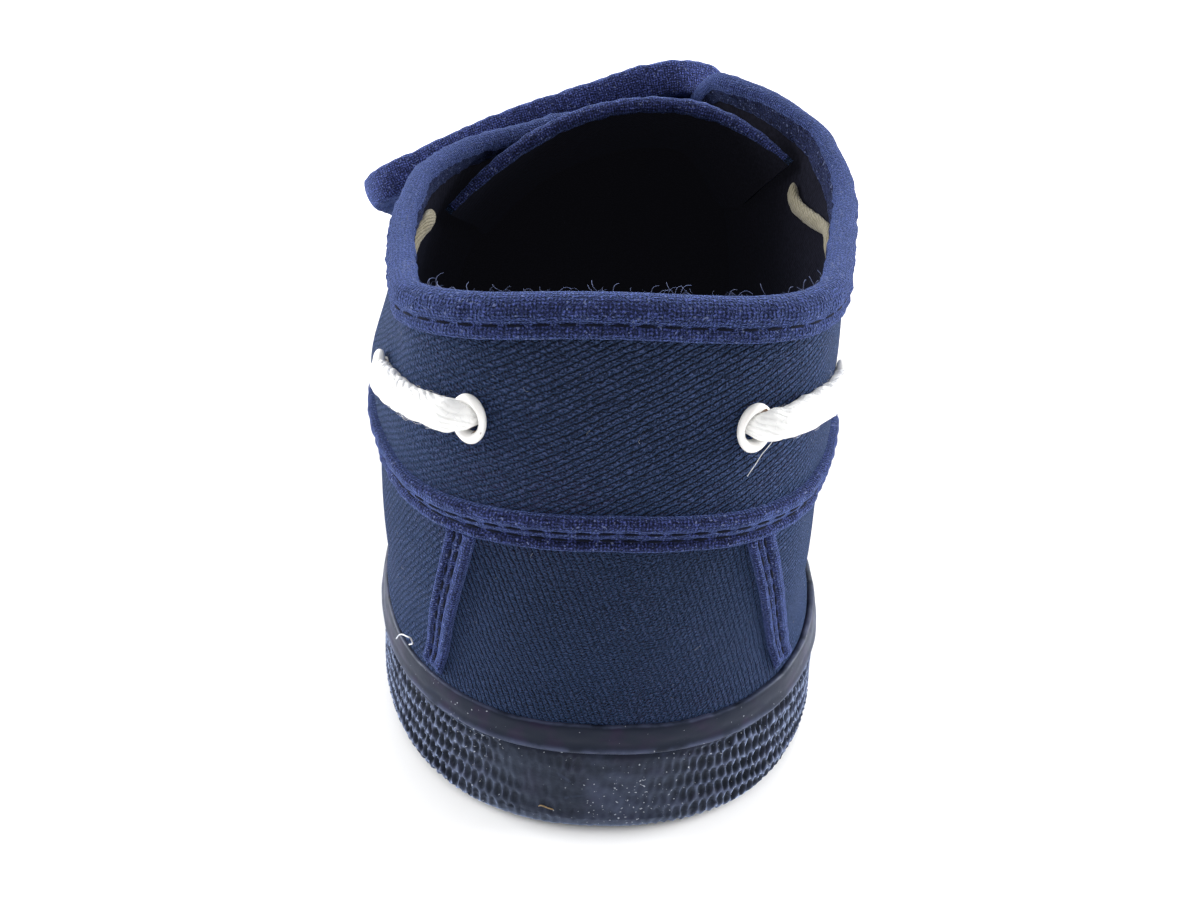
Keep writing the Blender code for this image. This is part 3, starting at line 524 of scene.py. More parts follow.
def loft(name, sections, finishes, ring=False, weave=None, lay=0.0, slots=None, anchor=0,
         flat=None):
    """A solid through closed sections: a ring, or a bar with its two ends capped.

    weave says that the mesh keeps the cloth's own lengths, over a "grid" or along a "strip":
    each face counts them from the row anchor, and flat faces by x and y instead.  lay is the
    angle in radians at which the cloth's ribs rise, and slots the finish of each face.
    """
    rows, columns = sections.shape[:2]
    i, j = (a.ravel() for a in np.indices((rows if ring else rows - 1, columns)))
    corner_i = np.stack([i, i, i + 1, i + 1], axis=1)
    corner_j = np.stack([j, j + 1, j + 1, j], axis=1)
    faces = corner_i % rows * columns + corner_j % columns
    places = to_frame(sections.reshape(-1, 3))
    a, b, c, d = (places[faces[:, k]] for k in range(4))
    volume = np.sum(np.cross(b - a, c - a) * a) + np.sum(np.cross(c - a, d - a) * a)
    turned = volume < 0
    if turned:
        corner_i, corner_j, faces = corner_i[:, ::-1], corner_j[:, ::-1], faces[:, ::-1]
    every = faces.tolist()
    if not ring:
        first = list(range(columns))
        last = [(rows - 1) * columns + k for k in first]
        every += [first, last[::-1]] if turned else [first[::-1], last]
    obj = add_mesh(name, places.tolist(), every, finishes)
    if weave is not None:
        grid_along, grid_up = grid_cloth(sections, ring, weave == "strip")
        start = np.broadcast_to(np.asarray(anchor), (len(faces),))[:, None]
        along = grid_along[corner_i, corner_j] - grid_along[start, corner_j]
        up = grid_up[corner_i, corner_j]
        if flat is not None:
            corners = sections[corner_i % rows, corner_j % columns]
            along = np.where(flat[:, None], corners[..., 0], along)
            up = np.where(flat[:, None], corners[..., 1], up)
        angle = np.broadcast_to(np.asarray(lay, float), (len(faces),))[:, None]
        turned_by = np.stack([along * np.cos(angle) + up * np.sin(angle),
                              up * np.cos(angle) - along * np.sin(angle)], axis=-1)
        values = np.zeros((len(obj.data.loops), 2), np.float32)
        values[:faces.size] = turned_by.reshape(-1, 2)
        obj.data.uv_layers.new(name="cloth").data.foreach_set("uv", values.ravel())
    if slots is not None:
        indices = np.zeros(len(every), np.int32)
        indices[:len(faces)] = slots
        obj.data.polygons.foreach_set("material_index", indices)
    obj.data.set_sharp_from_angle(angle=SHARP_EDGE)
    return obj


def dressed(obj, slot, *nodes):
    """The finished piece rides with the shoe and hides its CAD nodes; slot is not used."""
    if nodes:
        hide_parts(*nodes)
    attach(obj, "root")
    return obj


# ---- Node trees ----

class Value:
    """A node's output; arithmetic on it adds Math nodes."""

    def __init__(self, tree, socket):
        self.tree, self.socket = tree, socket


for sign, operation in {"add": "ADD", "sub": "SUBTRACT", "mul": "MULTIPLY",
                        "truediv": "DIVIDE"}.items():
    setattr(Value, f"__{sign}__",
            lambda self, other, how=operation: self.tree.math(how, self, other))
    setattr(Value, f"__r{sign}__",
            lambda self, other, how=operation: self.tree.math(how, other, self))


class Tree:
    """A node tree of a material or a modifier, built by expressions."""

    def __init__(self, nodes):
        self.nodes = nodes

    def add(self, kind, settings=None, inputs=None, output=0):
        """Add a node, with its settings and then its sockets' values or links."""
        node = self.nodes.nodes.new(kind)
        for name, value in (settings or {}).items():
            setattr(node, name, value)
        self.put(node, inputs or {})
        return Value(self, node.outputs[output])

    def put(self, node, inputs):
        for key, value in inputs.items():
            socket = node.inputs[key]
            if isinstance(value, Value):
                self.nodes.links.new(value.socket, socket)
            else:
                socket.default_value = (*value[:3], 1.0) if socket.type == "RGBA" else value

    def math(self, operation, *values):
        return self.add("ShaderNodeMath", {"operation": operation}, dict(enumerate(values)))

    def ridge(self, turns):
        """Rounded ridges from 0 to 1, one for each whole turn, with narrow gaps between."""
        return self.math("ABSOLUTE", self.math("SINE", turns * math.pi))

    def smooth(self, value, low, high, start=0.0, end=1.0):
        return self.add("ShaderNodeMapRange", {"interpolation_type": "SMOOTHSTEP"},
                        {"Value": value, "From Min": low, "From Max": high,
                         "To Min": start, "To Max": end})

    def noise(self, where, scale, detail=2.0, distortion=0.0):
        return self.add("ShaderNodeTexNoise", None, {
            "Vector": where, "Scale": scale, "Detail": detail, "Distortion": distortion})

    def blend(self, factor, first, second):
        return self.add("ShaderNodeMix", {"data_type": "RGBA"},
                        {0: factor, 6: first, 7: second}, 2)

    def parts(self, where):
        node = self.add("ShaderNodeSeparateXYZ", None, {0: where}).socket.node
        return [Value(self, output) for output in node.outputs]


CANVAS_TINT = (0.20, 0.41, 1.0)  # of the sheen
TAPE_TINT = (0.27, 0.42, 1.0)
DUSTY_TINT = (0.52, 0.66, 1.0)
WHITE = (1.0, 1.0, 1.0)
DUST = (0.42, 0.45, 0.52)


def scaled(colour, factor, lift=0.0):
    return tuple(c * factor + lift for c in colour)


class Finish(Tree):
    """A procedural material; its bumps are heights in mm."""

    def __init__(self, name, roughness, sheen=0.0, level=0.5, tint=CANVAS_TINT):
        self.material = bpy.data.materials.new(name)
        self.material.use_nodes = True
        super().__init__(self.material.node_tree)
        self.shader = self.nodes.nodes["Principled BSDF"]
        self.put(self.shader, {"Roughness": roughness, "Specular IOR Level": level,
                               "Sheen Weight": sheen, "Sheen Roughness": 0.38,
                               "Sheen Tint": tint})
        self.where = self.add("ShaderNodeTexCoord", output="Object")

    def cloth(self):
        """The cloth's own lengths in mm: along its ribs and across them."""
        return self.parts(self.add("ShaderNodeUVMap", {"uv_map": "cloth"}))[:2]

    def stored(self, name):
        return self.add("ShaderNodeAttribute", {"attribute_name": name}, output="Fac")

    def cloud(self, scale, detail=2.0, distortion=0.0):
        """Noise over the piece, from 0 to 1."""
        return self.noise(self.where, scale, detail, distortion)

    def grain(self, scale, detail=2.0):
        """Noise over the piece, to both sides of 0."""
        return self.cloud(scale, detail) - 0.5

    def patches(self, low, high, *settings):
        """How strongly patches of noise above a level show, from 0 to 1."""
        return self.smooth(self.cloud(*settings), low, high)

    def set(self, colour, height, depth, roughness=None):
        bump = self.add("ShaderNodeBump", None,
                        {"Strength": 1.0, "Distance": depth * MM, "Height": height})
        self.put(self.shader, {"Base Color": colour, "Normal": bump})
        if roughness is not None:
            self.put(self.shader, {"Roughness": roughness})
        return self.material


def twill(name, settings, shade=1.0):
    """Steep cotton twill: cords of short slanting floats, teal on their crowns, with painted shade
    in the gaps between them and a painted highlight on their crests.
    """
    look = Finish(name, 0.86, settings.sheen, 0.10)
    canvas = scaled(settings.canvas, shade)
    along, across = look.cloth()
    drift, wobble = look.grain(240.0), look.grain(1300.0)
    turns = across / settings.rib_pitch + drift * 0.8 + wobble * 0.5
    floats = look.ridge(along / settings.float_length + turns * 1.1 + drift * 2.5 + wobble * 2.0)
    height = (look.smooth(look.ridge(turns), 0.0, 0.85) * (0.6 + 0.4 * floats)
              + look.grain(4300.0, 3.0) * 2.6)
    top = scaled(canvas, 1.10)
    warm = (top[0] * 1.5, top[1] * 0.80, top[2] * 0.92)
    patch = look.smooth(look.cloud(45.0, 3.0) + wobble * 0.5, 0.50, 0.70)
    crown = look.blend(patch, top, warm)
    # Painted shade: the gaps between the cords are darkened to 0.12 of the canvas colour.
    colour = look.blend(look.smooth(height, 0.0, 0.80), scaled(canvas, 0.12), crown)
    # Painted highlight: the highest crests are paled to six times the canvas colour.
    colour = look.blend(look.smooth(height, 0.78, 1.30), colour, scaled(canvas, 6.0, 0.004))
    specks = look.patches(0.76, 0.80, 2300.0, 1.0)
    colour = look.blend(specks * 0.5, colour, scaled(settings.canvas, 8.0))
    return look.set(colour, height, settings.rib_depth)


def plain_weave(name, settings, depth=0.11, shade=1.0, nap=1.8):
    """Bias tape: plain weave lying at 45 degrees, its yarns uneven and worn pale in patches, with
    painted shade between them and a painted highlight on their crests.
    """
    look = Finish(name, 0.88, min(settings.sheen * nap, 1.0), 0.10, TAPE_TINT)
    along, across = look.cloth()
    drift, uneven = look.grain(900.0), look.grain(3000.0)
    turns = 0.5**0.5 / settings.tape_pitch
    warp = look.math("SINE", ((along + across) * turns + drift + uneven * 0.7) * math.pi)
    weft = look.math("SINE", ((along - across) * turns - drift * 0.9 - uneven * 0.8) * math.pi)
    height = warp * weft * 0.22 + look.grain(5200.0, 3.0) * 2.0 + look.grain(1500.0) * 0.15
    base = scaled(settings.tape, 1.1 * shade)
    pale_patches = look.patches(0.40, 0.70, 170.0, 3.0)
    crown = look.blend(pale_patches * 0.4, base, scaled(base, 1.8))
    # Painted shade: the low places between the yarns are darkened to 0.14 of the tape colour.
    mixed = look.blend(look.smooth(height, -0.30, 0.25), scaled(base, 0.14), crown)
    # Painted highlight: the yarns' crests are paled to 3.4 times the tape colour.
    mixed = look.blend(look.smooth(height, 0.12, 0.45), mixed, scaled(base, 3.4, 0.008))
    lint = look.patches(0.66, 0.73, 2900.0, 1.0)
    return look.set(look.blend(lint * 0.5, mixed, (0.24, 0.29, 0.52)), height, depth)


def brushed_cloth(name, colour, pitch=0.6):
    """Close dark lining cloth with a soft nap, and a faint painted glow that stands in for the
    little light reaching it.
    """
    look = Finish(name, 0.95, 0.02, 0.03)
    # Painted light: a faint bluish-white glow, so that the deepest shade inside is never black.
    look.put(look.shader, {"Emission Color": (0.75, 0.75, 1.0), "Emission Strength": 0.0032})
    x, y, z = look.parts(look.where)
    weave = look.ridge((x + y) / (pitch * MM)) * look.ridge((z + y - x) / (pitch * MM))
    nap = look.cloud(1800.0, 3.0)
    shaded = look.blend(look.smooth(nap, 0.3, 0.75), scaled(colour, 0.5), colour)
    return look.set(shaded, weave * 0.5 + nap, 0.1)


def rubber(name, settings, sheen, tint=CANVAS_TINT):
    look = Finish(name, settings.roughness, sheen, 0.20, tint)
    look.put(look.shader, {"Specular Tint": (0.62, 0.75, 1.0)})
    return look


def dusted(look, mixed, crowd, strength):
    """Pale dust specks over a colour; crowd from 0 to 1 is how many there are."""
    grain = look.cloud(2700.0, 1.0) + (look.cloud(70.0, 3.0) - 0.5) * 0.3
    dots = look.smooth(grain, 0.82 - crowd * 0.1, 0.85 - crowd * 0.1)
    return look.blend(dots * strength, mixed, DUST)


def satin_rubber(name, settings):
    """The smooth band: a worn satin skin with scuffs and dust, and a painted highlight along its
    bead and the lip's crest.
    """
    look, colour = rubber(name, settings, 0.10), settings.colour
    cloud, blotch, fine = look.cloud(60.0, 4.0), look.cloud(380.0, 3.0), look.cloud(900.0, 4.0)
    scuff = look.patches(0.55, 0.74, 210.0, 5.0, 0.6)
    plum = (colour[0] * 1.9, colour[1] * 0.8, colour[2] * 1.35)
    mixed = look.blend(look.smooth(blotch, 0.45, 0.70), colour, plum)
    mixed = look.blend(scuff * 0.35 + cloud * 0.2, mixed, scaled(colour, 1.7, 0.005))
    # Painted highlight: the bead and the lip's crest are paled, in patches, to seven times the
    # rubber colour.
    pale_patches = look.stored("edge") * look.smooth(blotch, 0.30, 0.60)
    mixed = look.blend(pale_patches * 0.9, mixed, scaled(colour, 7.0, 0.014))
    rough = settings.roughness - 0.1 + scuff * 0.2 + fine * 0.15
    return look.set(dusted(look, mixed, 0.45, 0.7), fine * 0.6 + cloud, 0.05, rough)


def knurled_rubber(name, settings):
    """The lower wall: pits darkened with painted shade, ridge crests paled with a painted bluish
    highlight, and clouded pale with wear behind the heel.
    """
    look, colour = rubber(name, settings, 0.9, DUSTY_TINT), scaled(settings.colour, 1.1)
    wear, crest = look.stored("wear"), look.stored("crest")
    grit, cloud = look.cloud(700.0, 4.0), look.cloud(130.0, 4.0, 0.5)
    warm = (colour[0] * 1.35, colour[1] * 0.95, colour[2] * 1.1)
    body = look.blend(look.patches(0.45, 0.68, 260.0, 3.0), colour, warm)
    # Painted shade: the pits are darkened to 0.35 of the rubber colour.
    ridged = look.blend(look.smooth(crest, 0.15, 0.75), scaled(colour, 0.35), body)
    # pale: a painted highlight on the ridges' crests, weaker where worn, plus pale clouds of real
    # wear behind the heel.
    pale = look.smooth(crest, 0.66, 1.0) * 0.9 * (1.0 - wear * 0.7)
    pale = pale + wear * look.smooth(cloud, 0.45, 0.75) * 0.45
    mixed = look.blend(pale * (0.5 + grit), ridged, scaled(colour, 6.5, 0.015))
    scar = look.patches(0.66, 0.74, 420.0, 4.0, 0.8)
    mixed = look.blend(scar * wear * 0.4, mixed, scaled(colour, 5.0))
    rough = settings.roughness + wear * 0.15 + grit * 0.2 - 0.08
    return look.set(dusted(look, mixed, 0.55 + wear * 0.5, 0.8), grit * 0.7 + cloud * 0.5,
                    0.10, rough)


def cotton_cord(name, colour):
    """White cotton cord: fine yarns along the plies, with painted shade a touch darker between
    them and dull grey-yellow where it lies inside the shoe.
    """
    look = Finish(name, 0.9, 0.3, 0.2, WHITE)
    along, across = look.cloth()
    soft, fuzz = look.cloud(300.0), look.cloud(2600.0, 3.0)
    yarns = look.ridge(across / 0.5 + along / 1.4 + soft * 2.5)
    shade = look.smooth(yarns * 0.6 + fuzz * 0.7, 0.15, 0.85)
    white = look.blend(shade, scaled(colour, 0.94), colour)
    dull = look.blend(shade, (0.10, 0.09, 0.06), (0.21, 0.19, 0.135))
    # Painted shade: the cord inside the shoe is dulled to grey-yellow.
    return look.set(look.blend(look.stored("darkening"), white, dull),
                    yarns * 0.5 + fuzz * 0.9 + soft, 0.16)


def eyelet_enamel(name, colour):
    """White enamel over brass, chipped brown here and there."""
    look = Finish(name, 0.3, level=0.6)
    chips = look.patches(0.66, 0.69, 420.0, 3.0, 0.4)
    # Grey-beige soil in patches over the enamel.
    darkening = look.patches(0.45, 0.8, 240.0, 3.0)
    enamel = look.blend(darkening * 0.25, colour, (0.62, 0.58, 0.5))
    return look.set(look.blend(chips, enamel, (0.16, 0.075, 0.02)), 1.0 - chips, 0.04,
                    0.28 + chips * 0.4)


def sewing_thread(name, colour):
    """Dark thread of two plies, dull with use, with painted shade darker between the plies."""
    look = Finish(name, 0.8, 0.05, 0.10)
    x, y, z = look.parts(look.where)
    ply = look.ridge((x + y * 0.8 + z) / (0.16 * MM))
    shade = ply * 0.6 + look.cloud(500.0) * 0.4
    return look.set(look.blend(shade, scaled(colour, 0.4), colour), ply, 0.04)


def clouded(name, roughness, sheen, level, scale, colour, shade):
    """A soft finish that drifts a little in tone; returns it with its colour."""
    look = Finish(name, roughness, sheen, level)
    tone = look.cloud(scale)
    mixed = look.blend(tone, scaled(colour, shade), colour)
    look.set(mixed, tone, 0.01)
    return look, mixed


def studio_floor(name, colour):
    look, mixed = clouded(name, 0.8, 0.0, 0.1, 3.0, colour, 0.985)
    look.put(look.shader, {"Emission Strength": 0.02, "Emission Color": mixed})
    return look.material


# ---- Upper ----

# How steeply each panel's ribs rise, in degrees
PANELS = {"band": 29.0, "heel": 109.0, MEDIAL: 16.0, LATERAL: 48.0, "vamp": 52.0}
VAMP_STATION = 1.66
ROWS_OF_PANELS = 30
ROWS_OF_BAND = 26
ROWS_OF_LINING = 16
SEAM_STEP = 0.012                # share of the height over which the band steps out
LINED_EDGE = 0.8                 # thickness of the canvas and lining at their top edge


def build_upper(settings, spacing=0.8):
    """The canvas upper with its lining, one hollow cloth."""
    us = evenly(lambda u: section_point(u, 0.55), 0.0, RING, spacing)[:-1]
    seam = band_t(us)[:, None]
    under = np.linspace(0.0, 1.0, ROWS_OF_PANELS) * seam
    band = (seam + SEAM_STEP
            + np.linspace(0.0, 1.0, ROWS_OF_BAND) * (1.0 - seam - SEAM_STEP))
    lining = np.linspace(1.0, 0.0, ROWS_OF_LINING) * np.ones_like(seam)
    depth = LINED_EDGE + np.clip((1.0 - lining) * 8.0, 0.0, WALL - LINED_EDGE)
    sections = np.concatenate([cloth(us[:, None], t, offset) for t, offset in (
        (under, 0.0), (band, BAND_STEP), (lining, -depth))], axis=1)
    rows, columns = sections.shape[:2]
    outside = ROWS_OF_PANELS + ROWS_OF_BAND
    i, j = (a.ravel() for a in np.indices((rows, columns)))
    side, station = split(us[i])
    seams = seam_stations(sections[i, np.minimum(j, outside - 1), 2])
    heel = station < np.where(side == MEDIAL, seams[:, 0], seams[:, 1])
    vamp = station > VAMP_STATION
    in_band = (j >= ROWS_OF_PANELS) & (j < outside)
    lay = np.select([in_band, vamp, heel, side == MEDIAL],
                    [PANELS[panel] for panel in ("band", "vamp", "heel", MEDIAL)],
                    PANELS[LATERAL])
    anchor = np.select([vamp & ~in_band, side == MEDIAL], [rows // 2, 0], rows)
    slots = np.select([j >= outside - 1, heel & (j < ROWS_OF_PANELS)], [1, 2], 0)
    # twill_counter is the canvas twill darkened to 0.58: painted shade on the heel counter.
    finishes = [twill("twill_canvas", settings), brushed_cloth("lining_cloth", settings.lining),
                twill("twill_counter", settings, 0.58)]
    return loft("upper_canvas", sections, finishes, True, "grid", np.radians(lay), slots, anchor,
                vamp & in_band)


# ---- Collar binding ----

BINDING_OUTSIDE = [
    # depth below the edge, offset from the canvas
    (3.05, 0.7), (3.18, 0.95), (3.05, 1.24), (2.65, 1.4), (2.2, 1.34), (1.78, 1.14),
    (1.35, 1.34), (0.75, 1.46), (0.15, 1.32), (-0.42, 0.94), (-0.76, 0.4), (-0.86, -0.2),
    (-0.76, -0.78), (-0.4, -1.22), (0.2, -1.44), (0.9, -1.5), (1.8, -1.54), (2.6, -1.54),
    (2.95, -1.42), (3.0, -1.15),
]
BINDING_INSIDE = [(2.6, -0.8), (1.1, -0.8), (-0.2, -0.8), (-0.2, 0.2), (1.6, 0.45)]
BINDING_STITCH_DEPTH = 1.78


def build_collar_binding(settings, spacing=0.42):
    """Bias tape folded over the whole top edge, puffed up on both sides of its stitching."""
    us = evenly(lambda u: section_point(u, 1.0), 0.0, RING, spacing)[:-1]
    lengths = lengths_along(section_point(us, 1.0), 0)[:, None]
    depth, offset = smoothed(BINDING_OUTSIDE, 44).T
    groove = bell(depth, BINDING_STITCH_DEPTH, 0.36)
    roll = bell(depth, 0.6, 0.9) + 0.8 * bell(depth, 2.6, 0.5)
    pull = puckers(lengths + depth * 0.5, settings.stitch_length, 11)
    swell = puckers(lengths - depth * 0.8, settings.stitch_length * 2.2, 12)
    push = roll * (0.12 * pull + 0.10 * swell) - groove * 0.10 * (0.6 + 0.4 * pull)
    push = push + 0.05 * puckers(lengths + depth * 1.4, 1.3, 13)
    offsets = offset + np.where(offset > -0.45, push, -push)
    inside = np.array(BINDING_INSIDE)[None] + np.zeros((len(us), 1, 1))
    sections = edge_points(us, np.concatenate([depth + 0 * lengths, inside[..., 0]], axis=1),
                           np.concatenate([offsets, inside[..., 1]], axis=1))
    # Painted light and shade: the outer roll takes a copy of the tape brightened 1.5 times, and
    # the inner leg's faces a copy darkened to 0.5.
    inner = np.append((offset < -1.2) & (depth > 0.2), [False] * len(BINDING_INSIDE))
    finishes = [plain_weave("collar_tape", settings, 0.32, 1.5),
                plain_weave("collar_tape_inner", settings, 0.11, 0.5, 0.5)]
    return loft("collar_binding_tape", sections, finishes, True, "strip",
                slots=np.tile(inner, len(us)))


# ---- Tapes over the seams ----

TAPE_PROFILE = [
    # place across the tape, from its lower edge to its upper edge; height over the canvas
    (-1.0, -0.1), (-1.01, 0.45), (-0.92, 0.8), (-0.74, 0.98), (-0.55, 0.88), (-0.36, 0.55),
    (-0.2, 0.7), (-0.06, 0.74), (0.14, 0.53), (0.32, 0.82), (0.6, 1.02), (0.84, 1.0),
    (0.97, 0.72), (1.01, 0.35), (1.0, -0.1),
]
TAPE_STITCHES = (-0.36, 0.14)    # places of the two rows of stitches across the tape
TAPE_WIDTH = 4.2
SEAM_TAPE_WIDTH = 3.4
HEEL_TAPE_SPAN = (16.4, 41.0)    # its lower end is tucked behind the rubber's lip


def tape_relief(lengths, places, heights, settings, seed, ruffle=1.0):
    """Heights of a stitched tape, pulled down and puckered by its stitches."""
    groove = sum(bell(places, row, 0.15) for row in TAPE_STITCHES)
    pull = puckers(lengths + places * 1.1, settings.stitch_length, seed)
    swell = puckers(lengths - places * 1.7, settings.stitch_length * 1.9, seed + 1)
    edge = np.clip((1.0 - np.abs(places)) / 0.2, 0.0, 1.0)
    rise = edge * ruffle * (0.08 * pull + 0.08 * swell) * (1 - groove)
    return heights + rise - groove * (0.06 + 0.08 * pull * ruffle)


def along_band(first, last, spacing):
    return evenly(lambda u: section_point(u, band_t(u)), first, last, spacing)


def saddle_place(us, places):
    """Where places across the saddle tape lie: section parameter, and height of the canvas."""
    seam = band_t(us)
    span = np.linalg.norm(section_point(us, seam + 0.05) - section_point(us, seam - 0.05), axis=-1)
    half = TAPE_WIDTH / 2 * 0.1 / span
    return (seam[:, None] + half[:, None] * places,
            BAND_STEP * np.clip(places / 0.3 + 0.5, 0.0, 1.0))


def build_saddle_tape(name, first, last, settings, seed, finish, spacing=0.42):
    us = along_band(first, last, spacing)
    places, heights = smoothed(TAPE_PROFILE, 34).T
    lengths = lengths_along(section_point(us, band_t(us)), 0)[:, None]
    heights = tape_relief(lengths, places, heights, settings, seed)
    t, base = saddle_place(us, places)
    return loft(name, cloth(us[:, None], t, base + heights), [finish], weave="strip")


def heel_seam_place(side, z, places):
    stations = seam_stations(z)
    u = on_ring(side, stations[..., 0 if side == MEDIAL else 1])
    span = np.linalg.norm(on_band(u + 0.02, z, 0) - on_band(u - 0.02, z, 0), axis=-1) / 0.04
    return u[:, None] + (SEAM_TAPE_WIDTH / 2 / span)[:, None] * places


def build_heel_seam_tape(side, settings, finish):
    levels = np.linspace(*HEEL_TAPE_SPAN, 80)[:, None]
    places, heights = smoothed(TAPE_PROFILE, 30).T
    heights = tape_relief(levels, places, heights * 0.95, settings, 40, 0.5)
    tucked = np.clip((levels - 17.2) / 2.2, 0.0, 1.0)
    heights = heights * (0.15 + 0.85 * tucked) - 0.5 * (1 - tucked)
    us = heel_seam_place(side, levels[:, 0], places)
    return loft(f"heel_tape_{SIDE_NAMES[side]}", on_band(us, levels, heights), [finish],
                weave="strip")


# ---- Tongue and strap: two sheets with bound edges ----

def tongue_point(row, share):
    """Point of the tongue's upper surface: row 0 to 1 from its back edge, share -1 to 1."""
    row, share = arrays(row, share)
    y = TONGUE[0][0] + (TONGUE[-1][0] - TONGUE[0][0]) * row
    x, z, *sides = np.moveaxis(tongue_rows(y), -1, 0)
    side_x, side_z = (np.where(share > 0, sides[k + 2], sides[k]) for k in (0, 1))
    reach = np.abs(share)
    back = y - TONGUE_CORNER * reach**2 * np.maximum(1 - 3 * row, 0.0)
    return np.stack([x + (side_x - x) * reach, back, z + (side_z - z) * reach**2.2], axis=-1)


def strap_point(place, share):
    """Point of the strap's under surface: share 0 at its back edge, 1 at its front edge."""
    place, share = arrays(place, share)
    values = strap_rows(place)
    back, front = values[..., :3], values[..., 3:]
    from_end = np.clip((1.0 - place) / STRAP_CORNER, 0.0, 1.0)
    trim = 0.26 * (1 - np.sqrt(np.clip(1 - (1 - from_end)**2, 0.0, 1.0)))
    return back + (front - back) * (trim + (1 - 2 * trim) * share)[..., None]


def sheet_normals(surface, row, share, low, high):
    """Upward normals of a sheet whose share runs from low to high."""
    row = np.clip(row, STEP, 1 - STEP)
    share = np.clip(share, low + STEP, high - STEP)
    first = surface(row + STEP, share) - surface(row - STEP, share)
    second = surface(row, share + STEP) - surface(row, share - STEP)
    normals = unit(np.cross(first, second))
    return normals * np.where(normals[..., 2:] < 0, -1.0, 1.0)


def build_sheet(name, surface, rows, shares, low, high, seed, finishes, lay):
    """A cloth sheet between two heights over a surface, gently waving, its lining below."""
    r, c = np.meshgrid(rows, shares, indexing="ij")
    points = surface(r, c)
    normals = sheet_normals(surface, r, c, shares[0], shares[-1])
    sway = 0.12 * waves(points, seed, (7.0, 16.0))[..., None]
    top, under = points + normals * (high + sway), points + normals * (low + sway)
    sections = np.concatenate([top, under[:, ::-1]], axis=1)
    below = np.tile(np.arange(2 * len(shares)) >= len(shares), len(rows) - 1)
    return loft(name, sections, finishes, False, "grid", math.radians(lay), below * 1)


EDGE_TAPE = [
    # distance in from the edge, height over (1) or under (-1) the cloth, as shares of it
    (1.0, 0.25), (1.02, 0.62), (0.93, 0.86), (0.78, 0.92), (0.64, 0.56), (0.48, 0.9),
    (0.25, 1.0), (0.02, 0.9), (-0.16, 0.45),
]
EDGE_STITCH = 0.64               # the stitches' distance in from the edge, as a share


def edge_frames(surface, rows, shares, low, high):
    """Points along a sheet's edge, with the upward normal and the way out of the sheet."""
    points = surface(rows, shares)
    along = unit(np.gradient(points, axis=0))
    normals = sheet_normals(surface, rows, shares, low, high)
    middle = (low + high) / 2
    inner = surface(rows + (0.5 - rows) * 0.1, shares + (middle - shares) * 0.1)
    out = unit(np.cross(along, normals))
    away = np.sum(out * (inner - points), axis=-1, keepdims=True)
    out = out * np.where(away > 0, -1.0, 1.0)
    normals = unit(normals - out * np.sum(normals * out, axis=-1, keepdims=True))
    return points, normals, out


def build_edge_tape(name, frames, low, high, leg, thick, settings, seed, finish, below=1.0,
                    taper=0.01):
    """Bias tape folded over the edge of a sheet.

    leg is how far it reaches in over the sheet, below its lower leg's share of that, and
    taper the length in mm over which it narrows at both ends.
    """
    points, normals, out = frames
    lengths = lengths_along(points, 0)[:, None]
    middle = (high + low) / 2
    over = [(depth * leg, high + rise * thick) for depth, rise in EDGE_TAPE]
    under = [(depth * leg * (below if depth > 0 else 1.0), low - rise * thick)
             for depth, rise in reversed(EDGE_TAPE)]
    depth, height = smoothed(over + [(-0.30 * leg, middle)] + under, 40).T
    groove = bell(depth, EDGE_STITCH * leg, 0.16 * leg)
    pull = puckers(lengths + depth, settings.stitch_length, seed)
    swell = puckers(lengths - depth, settings.stitch_length * 2.1, seed + 1)
    height = height + np.sign(height - middle) * (
        (0.08 * pull + 0.08 * swell) * (1 - groove) - 0.1 * groove * pull)
    narrow = np.clip(np.minimum(lengths, lengths[-1] - lengths) / taper, 0.05, 1.0)**0.6
    height = middle + (height - middle) * (0.4 + 0.6 * narrow)
    sections = (points[:, None] - out[:, None] * (depth * narrow)[..., None]
                + normals[:, None] * height[..., None])
    return loft(name, sections, [finish], weave="strip")


def tongue_edge():
    shares = evenly(lambda c: tongue_point(0.0, c), -1.10, 1.02, 0.4)
    return edge_frames(tongue_point, np.zeros_like(shares), shares, -1.0, 1.0)


def strap_edge():
    """Round the strap: its back edge, its free end and its front edge."""
    back = evenly(lambda r: strap_point(r, 0.0), 0.0, 1.0, 0.4)
    end = evenly(lambda c: strap_point(1.0, c), 0.0, 1.0, 0.4)[1:-1]
    front = evenly(lambda r: strap_point(r, 1.0), 0.0, 1.0, 0.4)[::-1]
    rows = np.concatenate([back, np.ones(len(end)), front])
    shares = np.concatenate([np.zeros(len(back)), end, np.ones(len(front))])
    return edge_frames(strap_point, rows, shares, 0.0, 1.0)


# ---- Eyelets ----

EYELET_PROFILE = [
    # radius, height over the collar band
    (1.75, 0.2), (2.25, 0.12), (2.52, 0.3), (2.6, 0.6), (2.47, 0.9), (2.16, 1.06), (1.86, 1.0),
    (1.62, 0.78), (1.5, 0.38), (1.48, -1.0), (1.48, -2.3), (1.6, -2.55), (2.0, -2.62),
    (2.35, -2.5), (2.33, -2.25), (1.85, -2.15), (1.8, -1.0),
]
EYELET_TURNS = 48


